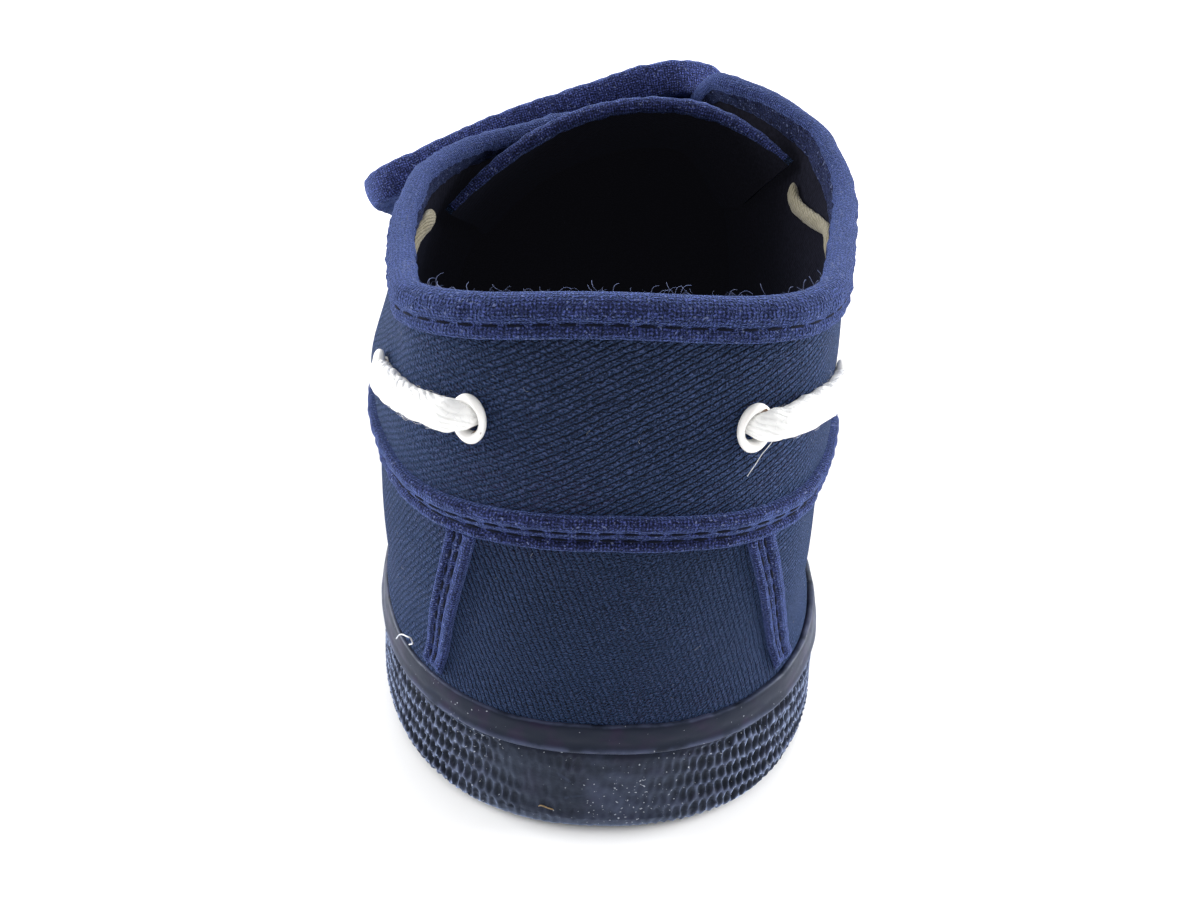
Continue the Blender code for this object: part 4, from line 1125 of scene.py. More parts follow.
def build_eyelet(name, side, finish):
    """A rolled eyelet, square to the canvas of the band."""
    station, z = EYELETS[name, side]
    u = on_ring(side, station)
    t = t_at_height(u, z)
    out = surface_normal(u, t)
    up = section_point(u, t + 0.02) - section_point(u, t - 0.02)
    up = unit(up - out * np.dot(up, out))
    radius, height = smoothed(EYELET_PROFILE + EYELET_PROFILE[:1], 40)[:-1].T
    turn = np.linspace(0, TURN, EYELET_TURNS, endpoint=False)[:, None]
    dent = 0.05 * np.sin(turn * 3 + side) * bell(height, 0.9, 0.4)
    points = (cloth(u, t, BAND_STEP) + (height + dent)[..., None] * out
              + (radius * np.cos(turn) * EYELET_OVAL)[..., None] * np.cross(up, out)
              + (radius * np.sin(turn))[..., None] * up)
    return loft(f"eyelet_{name}_{SIDE_NAMES[side]}_enamelled", points, [finish], True, "grid")


# ---- Lace ----

LACE_RUN = [
    # station and z on the medial side, on the lateral side, distance out from the canvas,
    # half width and half height of the cord, how darkly painted shade dims it
    (1.172, 62.9, 1.064, 61.3, -2.2, 0.66, 0.95, 1.0),
    (1.155, 61.2, 1.048, 61.2, -2.3, 0.78, 1.05, 1.0),
    (1.128, 60.8, 1.034, 61.3, -2.3, 0.8, 1.1, 1.0),
    (1.1, 60.8, 1.018, 61.4, -2.2, 0.8, 1.1, 1.0),
    (1.06, 61.2, 0.998, 61.3, -2.0, 0.72, 1.05, 1.0),
    (1.02, 61.7, 0.975, 60.9, -1.7, 0.6, 0.9, 1.0),
    (0.975, 62.2, 0.95, 60.4, -1.5, 0.6, 0.9, 1.0),
    (0.93, 61.8, 0.925, 59.8, -1.5, 0.62, 0.95, 1.0),
    (0.89, 60.2, 0.895, 58.6, -1.0, 0.5, 0.8, 1.0),
    (0.84, 57.6, 0.85, 56.6, -0.75, 0.42, 0.8, 1.0),
    (0.74, 54.2, 0.74, 53.8, -0.75, 0.42, 0.8, 1.0),
    (0.676, 52.7, 0.676, 52.3, -0.75, 0.55, 1.0, 0.6),
    (0.66, 52.4, 0.66, 52.0, 0.2, 1.0, 1.3, 0.0),
    (0.645, 52.6, 0.645, 52.2, 1.4, 1.25, 1.45, 0.0),
    (0.6, 53.2, 0.6, 52.8, 1.65, 1.5, 1.62, 0.0),
    (0.52, 54.2, 0.52, 53.5, 1.6, 1.62, 1.62, 0.0),
    (0.44, 55.0, 0.44, 54.2, 1.6, 1.62, 1.62, 0.0),
    (0.36, 55.3, 0.372, 54.8, 1.9, 1.62, 1.62, 0.0),
    (0.302, 55.2, 0.32, 55.1, 2.3, 1.55, 1.62, 0.0),
    (0.27, 55.1, 0.288, 55.1, 2.0, 1.35, 1.58, 0.0),
    (0.256, 54.9, 0.272, 54.9, 0.6, 1.05, 1.42, 0.0),
    (0.25, 54.8, 0.266, 54.8, -1.6, 1.0, 1.35, 0.6),
    (0.22, 54.8, 0.236, 54.9, -3.2, 1.3, 1.5, 1.0),
    (0.15, 54.8, 0.16, 55.0, -3.7, 1.5, 1.62, 1.0),
    (0.0, 54.9, 0.0, 54.9, -3.9, 1.5, 1.62, 1.0),
]
PLIES = 3
PLY_PITCH = 9.5


def lace_path():
    """Points of the one cord from its medial to its lateral end, and its half sizes."""
    rows = []
    for side, run in ((MEDIAL, LACE_RUN), (LATERAL, LACE_RUN[-2::-1])):
        for row in run:
            station, z = row[0:2] if side == MEDIAL else row[2:4]
            rows.append([*on_band(on_ring(side, station), z, row[4]), *row[5:]])
    rows = np.array(rows)
    for _ in range(3):
        cut = np.empty((2 * len(rows) - 2, rows.shape[1]))
        cut[0::2] = rows[:-1] * 0.75 + rows[1:] * 0.25
        cut[1::2] = rows[:-1] * 0.25 + rows[1:] * 0.75
        rows = np.concatenate([rows[:1], cut, rows[-1:]])
    lengths = lengths_along(rows[:, :3], 0)
    even = np.linspace(0, lengths[-1], int(lengths[-1] / 0.32))
    return np.stack([np.interp(even, lengths, column) for column in rows.T], axis=1), even


def build_lace(finish):
    """White cotton cord of three plies through all four eyelets."""
    rows, lengths = lace_path()
    points = rows[:, :3]
    along = unit(np.gradient(points, axis=0))
    up = np.zeros_like(points)
    way = np.array([0.0, 0.0, 1.0])
    for i, forward in enumerate(along):
        way = unit(way - forward * (way @ forward))
        up[i] = way
    turn = np.linspace(0, TURN, 36, endpoint=False)[None, :]
    lengths = lengths[:, None]
    uneven = 0.6 * np.sin(lengths * 0.61) + 0.4 * np.sin(lengths * 1.47 + 1.0)
    twist = lengths * TURN / PLY_PITCH + uneven * 0.7
    ply = np.abs(np.cos((turn - twist) * PLIES / 2))**0.8
    tufts = waves(np.stack(arrays(lengths, 2.0 * np.cos(turn), 2.0 * np.sin(turn)), axis=-1),
                  71, (0.9, 2.0, 4.0))
    ends = np.minimum(lengths, lengths[-1] - lengths)
    size = 0.90 + 0.10 * ply + 0.045 * uneven + 0.045 * tufts
    size = size * np.clip(ends / 1.2, 0.05, 1.0)**0.4
    sections = (points[:, None]
                + (rows[:, 3:4] * size * np.cos(turn))[..., None] * np.cross(along, up)[:, None]
                + (rows[:, 4:5] * size * np.sin(turn))[..., None] * up[:, None])
    lace = loft("lace_cord", sections, [finish], weave="strip")
    # Painted shade on the cord inside the shoe, from the table's last column.
    keep_values(lace, {"darkening": np.repeat(rows[:, 5], sections.shape[1])})
    return lace


def cord_fuzz(count, seed):
    """Places on the cord outside the shoe, the ways its loose hairs stand, and their sizes."""
    rows, _ = lace_path()
    chance = np.random.default_rng(seed)
    k = chance.choice(np.flatnonzero(rows[:, 5] < 0.05), count)
    way = unit(chance.normal(size=(count, 3)))
    along = unit(np.gradient(rows[:, :3], axis=0))[k]
    way = unit(way - along * np.sum(way * along, axis=-1, keepdims=True))
    return rows[k, :3] + way * (rows[k, 3:4] * 0.93), way, chance.uniform(0.10, 0.34, count)


# ---- Rubber ----

FOXING_PROFILE = [
    # inset, height over the knurled wall
    (2.3, 0.2), (0.5, 0.1), (0.06, 0.02), (-0.26, 0.06), (-0.48, 0.28), (-0.5, 0.58),
    (-0.34, 0.92), (-0.18, 1.4), (-0.09, 2.05), (0.02, 2.65), (0.14, 3.15), (0.28, 3.5),
    (0.5, 3.74), (0.78, 3.72), (1.3, 3.4), (2.3, 2.6),
]


def build_foxing(settings, spacing=0.45):
    """The smooth band, with its bead below and the lip that climbs the canvas."""
    us = evenly(outline, 0.0, RING, spacing)[:-1]
    inset, rise = smoothed(FOXING_PROFILE, 40).T
    bead, crest = bell(rise, 0.5, 0.32), rise > 3.6
    edge = outline_inset(us, 0.0)
    places = np.concatenate([edge, np.zeros((len(us), 1))], axis=1)[:, None]
    lip = np.clip((rise - 2.8) / 0.9, 0.0, 1.0)
    rise = rise + lip * (waves(places, 21, (6.0, 13.0, 31.0)) * 0.14
                         + waves(places, 22, (0.8, 1.7, 3.1)) * 0.08)
    inset = inset + 0.05 * waves(places + rise[..., None] * [0, 0, 3.0], 23, (9.0, 4.0))
    heights = line_z(outline(us)[:, 1])[:, None] + rise
    sections = np.concatenate([outline_inset(us[:, None], inset), heights[..., None]], axis=-1)
    band = loft("foxing_band_rubber", sections, [satin_rubber("satin_band_rubber", settings)],
                True)
    # The edge values mark the bead and the lip's crest, where the satin finish paints a highlight.
    keep_values(band, {"edge": np.tile(np.maximum(bead, 0.6 * crest), len(us))})
    return band


class Pattern(Tree):
    """A Geometry Nodes tree whose sizes are named inputs."""

    def __init__(self, name, *labels):
        super().__init__(bpy.data.node_groups.new(name, "GeometryNodeTree"))
        kinds = {"Geometry": "Geometry", "Material": "Material", "Seed": "Int"}
        face = self.nodes.interface
        face.new_socket("Geometry", in_out="OUTPUT", socket_type="NodeSocketGeometry")
        for label in ("Geometry", *labels, "Material"):
            face.new_socket(label, in_out="INPUT",
                            socket_type="NodeSocket" + kinds.get(label, "Float"))
        entry = self.nodes.nodes.new("NodeGroupInput")
        self.input = {socket.name: Value(self, socket) for socket in entry.outputs if socket.name}

    def stored(self, name, kind="FLOAT"):
        return self.add("GeometryNodeInputNamedAttribute", {"data_type": kind}, {"Name": name})

    def close(self, geometry):
        """End the tree in real geometry with its finish."""
        real = self.add("GeometryNodeRealizeInstances", None, {0: geometry})
        done = self.add("GeometryNodeSetMaterial", None,
                        {"Geometry": real, "Material": self.input["Material"]})
        self.put(self.nodes.nodes.new("NodeGroupOutput"), {0: done})
        return self

    def make(self, name, source, values):
        """Run the tree on an object and keep the result as a plain mesh in its place."""
        modifier = source.modifiers.new(name, "NODES")
        modifier.node_group = self.nodes
        for item in self.nodes.interface.items_tree:
            if item.in_out == "INPUT" and item.name in values:
                modifier[item.identifier] = values[item.name]
        ready = source.evaluated_get(bpy.context.evaluated_depsgraph_get())
        mesh = bpy.data.meshes.new_from_object(ready)
        bpy.data.objects.remove(source, do_unlink=True)
        return link(name, mesh)


WALL_ROWS = [
    # inset, share of the way up from the bottom to the smooth band, lift in mm
    (0.45, 0.0, 0.0), (-0.1, 0.0, 0.22), (-0.52, 0.0, 0.7), (-0.82, 0.0, 1.4), (-0.92, 0.0, 2.4),
    (-0.5, 0.5, 0.0), (0.04, 1.0, -0.8), (0.22, 1.0, -0.1), (0.7, 1.0, 0.15),
]
WALL_LEVELS = 34
WORN = (7.0, 19.0)               # lengths from the back of the heel over which the wear ends
GROOVE_PITCH = 6.0
GROOVE_WIDTH = 2.2
GROOVE_DEPTH = 1.8
GROOVE_INSET = 7.0
GROOVES = [(11.0, 41.0), (131.0, 197.0)]


def in_grooves(y):
    inside = np.zeros(np.shape(y), bool)
    for first, last in GROOVES:
        turn = np.round((y - first) / GROOVE_PITCH)
        there = (turn >= 0) & (turn <= (last - first) // GROOVE_PITCH)
        inside |= there & (np.abs(y - first - turn * GROOVE_PITCH) < GROOVE_WIDTH / 2)
    return inside


def knurl_tree():
    """A net of ridges round tall pits, each row half a pitch out of step with the next."""
    tree = Pattern("knurled wall", "Pit Pitch", "Row Height", "Depth")
    along, up, wear, ribbed = (tree.stored(name) for name in ("along", "up", "wear", "ribbed"))
    place = tree.add("ShaderNodeCombineXYZ", None, {0: along, 1: up * 0.7, 2: 0.0})
    sway = tree.noise(place, 0.16) - 0.5
    jitter = tree.noise(place, 0.8, 1.0) - 0.5
    rows = up / tree.input["Row Height"] + sway * 0.9 + along * 0.035
    row = tree.math("FLOOR", rows)
    turns = along / tree.input["Pit Pitch"] + row * 0.5 + sway * 1.6 + jitter * 0.5
    pits = tree.smooth(tree.ridge(turns) + tree.ridge(rows + jitter * 0.2) * 0.9, 0.85, 1.65)
    height = 1.0 - pits
    push = (height - 0.75) * tree.input["Depth"] * ribbed * (1.0 - wear * 0.9)
    dents = tree.smooth(tree.noise(place, 1.3), 0.56, 0.68)
    push = push - dents * wear * ribbed * 0.10 + jitter * wear * 0.10
    shift = tree.add("ShaderNodeVectorMath", {"operation": "SCALE"},
                     {0: tree.stored("out", "FLOAT_VECTOR"), "Scale": push * MM})
    marked = tree.add("GeometryNodeStoreNamedAttribute",
                      {"data_type": "FLOAT", "domain": "POINT"},
                      {"Geometry": tree.input["Geometry"], "Name": "crest",
                       "Value": 0.6 + (height - 0.6) * ribbed * (1.0 - wear * 0.8)})
    return tree.close(tree.add("GeometryNodeSetPosition", None,
                               {"Geometry": marked, "Offset": shift}))


def mirrored_ring(spacing):
    """Ring parameters whose lateral half mirrors the medial one."""
    half = evenly(outline, 0.0, RING / 2, spacing)
    return np.concatenate([half, RING - half[-2:0:-1]])


def ring_solid(name, levels, closed, finishes=(), inner=(), inner_faces=()):
    """A solid of mirrored rings one above the other, and of further vertices and faces.

    closed names the levels that are filled from side to side.
    """
    count = len(levels[0])
    here = np.arange(count)
    ahead = (here + 1) % count
    k = here[:count // 2]
    faces = [level * count + np.stack([here, ahead, ahead + count, here + count], axis=1)
             for level in range(len(levels) - 1)]
    faces += [level * count + np.stack([k, k + 1, -(k + 1) % count, -k % count], axis=1)
              for level in closed]
    corners = (tuple(dict.fromkeys(face))
               for face in np.concatenate([*faces, *inner_faces]).tolist())
    obj = add_mesh(name, to_frame(np.concatenate([*levels, *inner])).tolist(),
                   [face for face in corners if len(face) > 2], finishes)
    work = bmesh.new()
    work.from_mesh(obj.data)
    bmesh.ops.recalc_face_normals(work, faces=work.faces)
    work.to_mesh(obj.data)
    work.free()
    return obj


def grooved_tread(rim, y):
    """The tread from side to side within a mirrored ring, sunk where the grooves run."""
    half = len(rim) // 2 + 1
    medial, lateral = rim[:half], rim[-np.arange(half) % len(rim)]
    width = half_width(y[:half])
    edge = np.clip(np.maximum(width - GROOVE_INSET, 0.5) / np.maximum(width, 1.0), 0.05, 0.95)
    sunk = np.where(in_grooves(y[:half]), GROOVE_DEPTH, 0.0)
    columns = []
    for place, inner in ((-1.0, 0), (-0.99, 1), (0.0, 1), (0.99, 1), (1.0, 0)):
        share = (place * edge)[:, None] * 0.5 + 0.5
        column = lateral * (1 - share) + medial * share
        column[:, 2] += inner * sunk
        columns.append(column)
    return np.stack(columns, axis=1)


def build_sole(settings, spacing=0.21):
    """The moulded sole: knurled wall and grooved tread in one closed solid."""
    us = mirrored_ring(spacing)
    count = len(us)
    edge = outline(us)
    y = edge[:, 1]
    stretch = np.array([1.0, line_z(0.0), 1.0])
    levels = [np.column_stack([outline_inset(us, inset),
                               bottom_z(y) * (1 - share) + line_z(y) * share + lift])
              for inset, share, lift in smoothed(WALL_ROWS * stretch, WALL_LEVELS) / stretch]
    wall = np.concatenate(levels)
    lengths = lengths_along(edge, 0)
    total = lengths[-1] + np.linalg.norm(edge[-1] - edge[0])
    along = np.tile(np.where(us > RING / 2, lengths - total, lengths), WALL_LEVELS)
    wear = np.clip((WORN[1] - np.abs(along + 2.0)) / (WORN[1] - WORN[0]), 0.0, 1.0)
    wear = np.clip(wear * (1.0 + 0.25 * waves(wall, 31, (9.0, 5.0))), 0.0, 1.0)
    level = np.repeat(np.linspace(0, 1, WALL_LEVELS), count)
    ribbed = np.clip(level / 0.06, 0.4, 1.0) * np.clip((0.93 - level) / 0.06, 0.0, 1.0)
    ahead = outline(us + STEP) - outline(us - STEP)
    out = unit(np.column_stack([ahead[:, 1], -ahead[:, 0], np.zeros(count)]))
    tread = grooved_tread(levels[0], y)
    half, width = tread.shape[:2]
    k = np.arange(half - 1)
    row = len(wall) + k * width
    faces = [np.stack([row + j, row + j + 1, row + j + width + 1, row + j + width], axis=1)
             for j in range(width - 1)]
    faces.append(np.stack([-k % count, row, row + width, -(k + 1) % count], axis=1))
    faces.append(np.stack([row + width - 1, k, k + 1, row + 2 * width - 1], axis=1))
    tread = tread.reshape(-1, 3)
    source = ring_solid("sole_source", levels, [WALL_LEVELS - 1], (), [tread], faces)
    values = {"along": along, "up": wall[:, 2], "wear": wear, "ribbed": ribbed,
              "out": np.tile(out, (WALL_LEVELS, 1))}
    keep_values(source, {name: np.concatenate([value, np.zeros((len(tread), *value.shape[1:]))])
                         for name, value in values.items()})
    sole = knurl_tree().make("sole_rubber", source, {
        "Pit Pitch": settings.pit_pitch, "Row Height": settings.row_height,
        "Depth": settings.pit_depth, "Material": knurled_rubber("knurled_wall_rubber", settings)})
    sole.data.set_sharp_from_angle(angle=SHARP_EDGE)
    return sole


FOOTBED_PROFILE = [
    # inset, height over the outsole's top
    (6.2, 0.2), (4.6, 0.4), (4.3, 2.0), (4.2, 4.6), (4.35, 5.0), (4.7, 5.0),
    (5.2, 4.3), (6.4, 3.2), (8.5, 2.75), (12.0, 2.7),
]


def build_footbed(settings):
    """The sock lining, cupped up round its edge."""
    us = mirrored_ring(1.2)
    top = line_z(outline(us)[:, 1]) + GAP
    levels = [np.column_stack([outline_inset(us, inset), top + rise])
              for inset, rise in smoothed(FOOTBED_PROFILE, 20)]
    finish = brushed_cloth("sock_cloth", scaled(settings.lining, 4.0), 0.8)
    return ring_solid("footbed_cloth", levels, (0, len(levels) - 1), [finish])


# ---- Stitches and fibres ----

TONGUE_LEG, STRAP_LEG = 2.0, 3.5    # how far the tapes reach in over the tongue and strap


def stitch_tree():
    """A stitch at even steps along each line, lying along it and square to the cloth."""
    tree = Pattern("stitches", "Step", "Length", "Width")
    spaced = tree.add("GeometryNodeResampleCurve", {"mode": "LENGTH"}, {
        "Curve": tree.add("GeometryNodeMeshToCurve", None, {0: tree.input["Geometry"]}),
        "Length": tree.input["Step"]})
    ball = tree.add("GeometryNodeMeshUVSphere", None, {"Segments": 10, "Rings": 6, "Radius": 0.5})
    width = tree.input["Width"]
    size = tree.add("ShaderNodeCombineXYZ", None,
                    {0: tree.input["Length"], 1: width, 2: width * 0.7})
    stitch = tree.add("GeometryNodeTransform", None, {"Geometry": ball, "Scale": size})
    turned = tree.add("FunctionNodeAxesToRotation", {"primary_axis": "X", "secondary_axis": "Z"},
                      {0: tree.add("GeometryNodeInputTangent"),
                       1: tree.stored("out", "FLOAT_VECTOR")})
    return tree.close(tree.add("GeometryNodeInstanceOnPoints", None, {
        "Points": spaced, "Instance": stitch, "Rotation": turned}))


def line_source(lines):
    """A mesh of lines, each (points, ways out, closed), as the stitches' guide."""
    edges, first = [], 0
    for points, _, closed in lines:
        run = list(range(first, first + len(points))) + [first] * closed
        edges += zip(run, run[1:])
        first += len(points)
    source = add_mesh("stitch_lines", to_frame(np.concatenate([row[0] for row in lines])).tolist(),
                      edges=edges)
    keep_values(source, {"out": np.concatenate([row[1] for row in lines])})
    return source


def stitch_lines():
    """Every visible row of stitches, with the way out of the cloth."""
    us = evenly(lambda u: section_point(u, 1.0), 0.0, RING, 0.6)[:-1]
    depth = np.full((len(us), 1), BINDING_STITCH_DEPTH)
    lines = [(edge_points(us, depth, np.full_like(depth, 1.11))[:, 0],
              surface_normal(us, 0.95 + 0 * us), True)]
    for first, last in ((-APRON_STATION + 0.01, APRON_STATION - 0.01),
                        (APRON_STATION + 0.03, RING - APRON_STATION - 0.03)):
        us = along_band(first, last, 0.6)
        for place in TAPE_STITCHES:
            t, base = saddle_place(us, np.array([place]))
            t = t[:, 0]
            lines.append((cloth(us, t, base + 0.58), surface_normal(us, t), False))
    heights = np.linspace(20.4, 40.0, 40)
    for side in (MEDIAL, LATERAL):
        for place in TAPE_STITCHES:
            us = heel_seam_place(side, heights, np.array([place]))[:, 0]
            t = t_at_height(us, heights)
            lines.append((cloth(us, t, 0.56), surface_normal(us, t), False))
    for (points, normals, out), leg, height in ((tongue_edge(), TONGUE_LEG, 0.34),
                                                (strap_edge(), STRAP_LEG, STRAP_CLOTH + 0.52)):
        lines.append((points - out * EDGE_STITCH * leg + normals * height, normals, False))
    return lines


def fibre_tree():
    """A short bent fibre at each point, turned and sized at random from a fixed seed."""
    tree = Pattern("fibres", "Longest", "Seed")
    line = tree.add("GeometryNodeCurveQuadraticBezier", None, {
        "Resolution": 6, "Start": (0.0, 0.0, 0.0), "Middle": (0.45, 0.34, 0.42),
        "End": (0.95, -0.05, 0.10)})
    ring = tree.add("GeometryNodeCurvePrimitiveCircle", None, {"Resolution": 4, "Radius": 0.012})
    strand = tree.add("GeometryNodeCurveToMesh", None,
                      {"Curve": line, "Profile Curve": ring, "Fill Caps": True})
    aligned = tree.add("FunctionNodeAlignRotationToVector", {"axis": "Z"},
                       {"Vector": tree.stored("out", "FLOAT_VECTOR")})
    spin = tree.add("FunctionNodeRandomValue", {"data_type": "FLOAT"},
                    {2: 0.0, 3: TURN, "Seed": tree.input["Seed"]}, 1)
    turn = tree.add("FunctionNodeAxisAngleToRotation", None,
                    {"Axis": (0.0, 0.0, 1.0), "Angle": spin})
    rotation = tree.add("FunctionNodeRotateRotation", {"rotation_space": "LOCAL"},
                        {0: aligned, 1: turn})
    return tree.close(tree.add("GeometryNodeInstanceOnPoints", None, {
        "Points": tree.input["Geometry"], "Instance": strand, "Rotation": rotation,
        "Scale": tree.stored("size") * tree.input["Longest"]}))


def loose_fibre(name, colour):
    return clouded(name, 0.7, 0.4, 0.5, 900.0, colour, 0.55)[0].material


def canvas_specks(count, chance):
    """Seeded places on the canvas behind the throat, its normals there, and sizes of lint."""
    u, z = chance.uniform(-1.1, 1.1, count), chance.uniform(18.5, 62.0, count)
    t = t_at_height(u, z)
    step = np.where(z > band_height(split(u)[1]), BAND_STEP, 0.0)
    sizes = chance.uniform(0.04, 0.11, count)
    sizes[:count // 20] = chance.uniform(0.15, 0.32, count // 20)
    return cloth(u, t, step + 0.05), surface_normal(u, t), sizes


def collar_fuzz(count, chance):
    """Seeded places along the collar's inner edge, with the ways and sizes of its hairs."""
    us = chance.uniform(-1.45, 1.45, count)
    depths = chance.uniform(-0.9, -0.6, (count, 1))
    places = edge_points(us, depths, chance.uniform(-0.9, 0.1, (count, 1)))[:, 0]
    ways = unit(surface_normal(us, 0.97 + 0 * us) + [0.0, 0.0, 1.2])
    return places, ways, chance.uniform(0.12, 0.46, count)


def build_lint(settings):
    """Specks on the canvas, dark hairs along the collar and white ones along the cord."""
    chance = np.random.default_rng(3)
    tree = fibre_tree()
    for name, colour, (points, ways, sizes) in (
            ("lint_specks", (0.62, 0.64, 0.70), canvas_specks(settings.lint, chance)),
            ("collar_hairs", (0.13, 0.16, 0.32), collar_fuzz(settings.fuzz, chance)),
            ("cord_hairs", settings.cord, cord_fuzz(settings.cord_fuzz, 9))):
        source = add_mesh("fibre_points", to_frame(points).tolist())
        keep_values(source, {"out": ways, "size": sizes})
        hair = tree.make(name, source, {"Longest": 3.2 * MM, "Seed": 4,
                                        "Material": loose_fibre(name, colour)})
        dressed(hair, "cord" if name == "cord_hairs" else "canvas")
    for name, colour, rows, size in LOOSE_ENDS:
        thread = loose_end(name, np.array(rows), size, loose_fibre(name, colour))
        dressed(thread, "cord" if name.startswith("white") else "canvas")


LOOSE_ENDS = [
    # name, colour, points by ring parameter, z and distance out, thickness
    ("white_hair", (0.75, 0.76, 0.78),
     [(0.302, 52.7, 1.0), (0.276, 52.1, 1.5), (0.260, 50.6, 1.3), (0.250, 49.4, 1.0)], 0.045),
    ("white_loop", (0.80, 0.80, 0.80),
     [(5.412, 18.6, 1.5), (5.442, 20.4, 1.9), (5.472, 21.5, 2.1), (5.494, 21.8, 1.9),
      (5.496, 20.9, 1.6), (5.478, 20.0, 1.5)], 0.09),
    ("tan_fibre", (0.36, 0.25, 0.12),
     [(-0.135, 3.1, 0.6), (-0.118, 3.9, 0.8), (-0.100, 3.6, 0.8), (-0.084, 3.2, 0.6)], 0.09),
    ("tan_crumb", (0.40, 0.28, 0.10),
     [(0.019, 4.3, 0.5), (0.026, 4.7, 0.6), (0.034, 4.1, 0.5)], 0.10),
]


def loose_end(name, rows, thickness, finish):
    """A thread through a few places over the shoe, on the rubber where they lie low."""
    u, z, offset = rows.T
    wall = np.column_stack([outline_inset(u, -offset), z])
    points = smoothed(np.where(z[:, None] < 14.0, wall, on_band(u, np.maximum(z, 18.0), offset)),
                      24)
    along = unit(np.gradient(points, axis=0))
    side = unit(np.cross(along, [0.0, 0.0, 1.0]))
    turn = np.linspace(0, TURN, 6, endpoint=False)[None, :, None]
    sections = points[:, None] + thickness * (np.cos(turn) * side[:, None]
                                              + np.sin(turn) * np.cross(side, along)[:, None])
    return loft(name, sections, [finish])


# ---- What a user may change ----

def colour_setting(label, words, default):
    return FloatVectorProperty(name=label, description=words, default=default, subtype="COLOR",
                               size=3, min=0.0, max=1.0)


def length_setting(label, words, default):
    return FloatProperty(name=label, description=f"{words}, in millimetres", default=default,
                         min=0.01, soft_max=20.0)


def share_setting(label, words, default):
    return FloatProperty(name=label, description=words, default=default, min=0.0, max=1.0,
                         subtype="FACTOR")


def count_setting(label, words, default, most):
    return IntProperty(name=label, description=f"Number of {words}", default=default, min=1,
                       soft_max=most)


class BoatShoeCloth(bpy.types.PropertyGroup):
    """Canvas, lining and tapes."""

    canvas: colour_setting("Canvas", "Crowns of the twill's cords", (0.0100, 0.0136, 0.0325))
    tape: colour_setting("Tape", "Bindings and seam tapes", (0.0135, 0.0185, 0.0670))
    lining: colour_setting("Lining", "Lining and sock", (0.010, 0.010, 0.017))
    rib_pitch: length_setting("Rib pitch", "From cord to cord of the twill", 0.65)
    rib_depth: length_setting("Rib depth", "Depth between the twill's cords", 0.42)
    float_length: length_setting("Float length", "Length of each twisted float", 0.62)
    tape_pitch: length_setting("Tape weave", "From yarn to yarn of the tapes", 0.26)
    stitch_length: length_setting("Stitch length", "From stitch to stitch", 2.35)
    sheen: share_setting("Sheen", "Paleness of the cloth at glancing angles", 0.30)


class BoatShoeRubber(bpy.types.PropertyGroup):
    """Sole and its smooth band."""

    colour: colour_setting("Rubber", "Sole and band", (0.0062, 0.0078, 0.0155))
    roughness: share_setting("Roughness", "Dullness of the rubber", 0.46)
    pit_pitch: length_setting("Pit pitch", "From pit to pit along the knurled wall", 1.12)
    row_height: length_setting("Row height", "From row to row of pits", 2.5)
    pit_depth: length_setting("Pit depth", "Depth of the knurled wall's pits", 0.60)


class BoatShoeTrims(bpy.types.PropertyGroup):
    """Lace, eyelets, thread and lint."""

    cord: colour_setting("Cord", "White cotton lace", (0.96, 0.96, 0.95))
    enamel: colour_setting("Enamel", "Painted eyelets", (0.90, 0.89, 0.87))
    # Darker than the tape: the thread's own navy deepened with painted shade of the stitch holes.
    thread: colour_setting("Thread", "Sewing thread", (0.005, 0.007, 0.020))
    lint: count_setting("Lint", "pale specks on the canvas", 260, 2000)
    fuzz: count_setting("Collar hairs", "hairs along the collar", 420, 2000)
    cord_fuzz: count_setting("Cord hairs", "loose hairs on the lace", 700, 3000)


class BoatShoeStage(bpy.types.PropertyGroup):
    """Floor, light and camera."""

    floor: colour_setting("Floor", "Floor under the shoe", (0.88, 0.88, 0.88))
    surround: FloatProperty(name="Surround", description="Strength of the pale surround",
                            default=1.7, min=0.0, soft_max=4.0)
    power: FloatProperty(name="Lamp power", description="Power of each side lamp",
                         default=6.0, min=0.0, unit="POWER")


# ---- Operators ----

class Maker:
    """What the operators share: each makes its pieces in the scene and is done."""

    def execute(self, context):
        self.make(context.scene)
        return {"FINISHED"}


class BOATSHOE_OT_upper(Maker, bpy.types.Operator):
    """Make the canvas upper and its lining"""

    bl_idname = "boatshoe.upper"
    bl_label = "Canvas Upper"

    def make(self, scene):
        dressed(build_upper(scene.boatshoe_cloth), "canvas", "upper")


SADDLE_TAPES = [
    # name, first and last ring parameter, seed, the node that it dresses
    ("saddle_seam_tape", -APRON_STATION, APRON_STATION, 20, "saddle_tape"),
    ("apron_tape", APRON_STATION + 0.012, RING - APRON_STATION - 0.012, 30, "apron_seam_tape"),
]


class BOATSHOE_OT_bindings(Maker, bpy.types.Operator):
    """Make the tape folded over the collar and the tapes over the seams"""

    bl_idname = "boatshoe.bindings"
    bl_label = "Binding and Seam Tapes"

    def make(self, scene):
        settings = scene.boatshoe_cloth
        dressed(build_collar_binding(settings), "tape", "collar_binding")
        # A copy of the tape brightened 1.12 times: painted light.
        finish = plain_weave("seam_tape", settings, 0.11, 1.12)
        for name, first, last, seed, node in SADDLE_TAPES:
            dressed(build_saddle_tape(name, first, last, settings, seed, finish), "tape", node)
        for side in (MEDIAL, LATERAL):
            dressed(build_heel_seam_tape(side, settings, finish), "tape",
                    f"heel_seam_tape_{SIDE_NAMES[side]}")


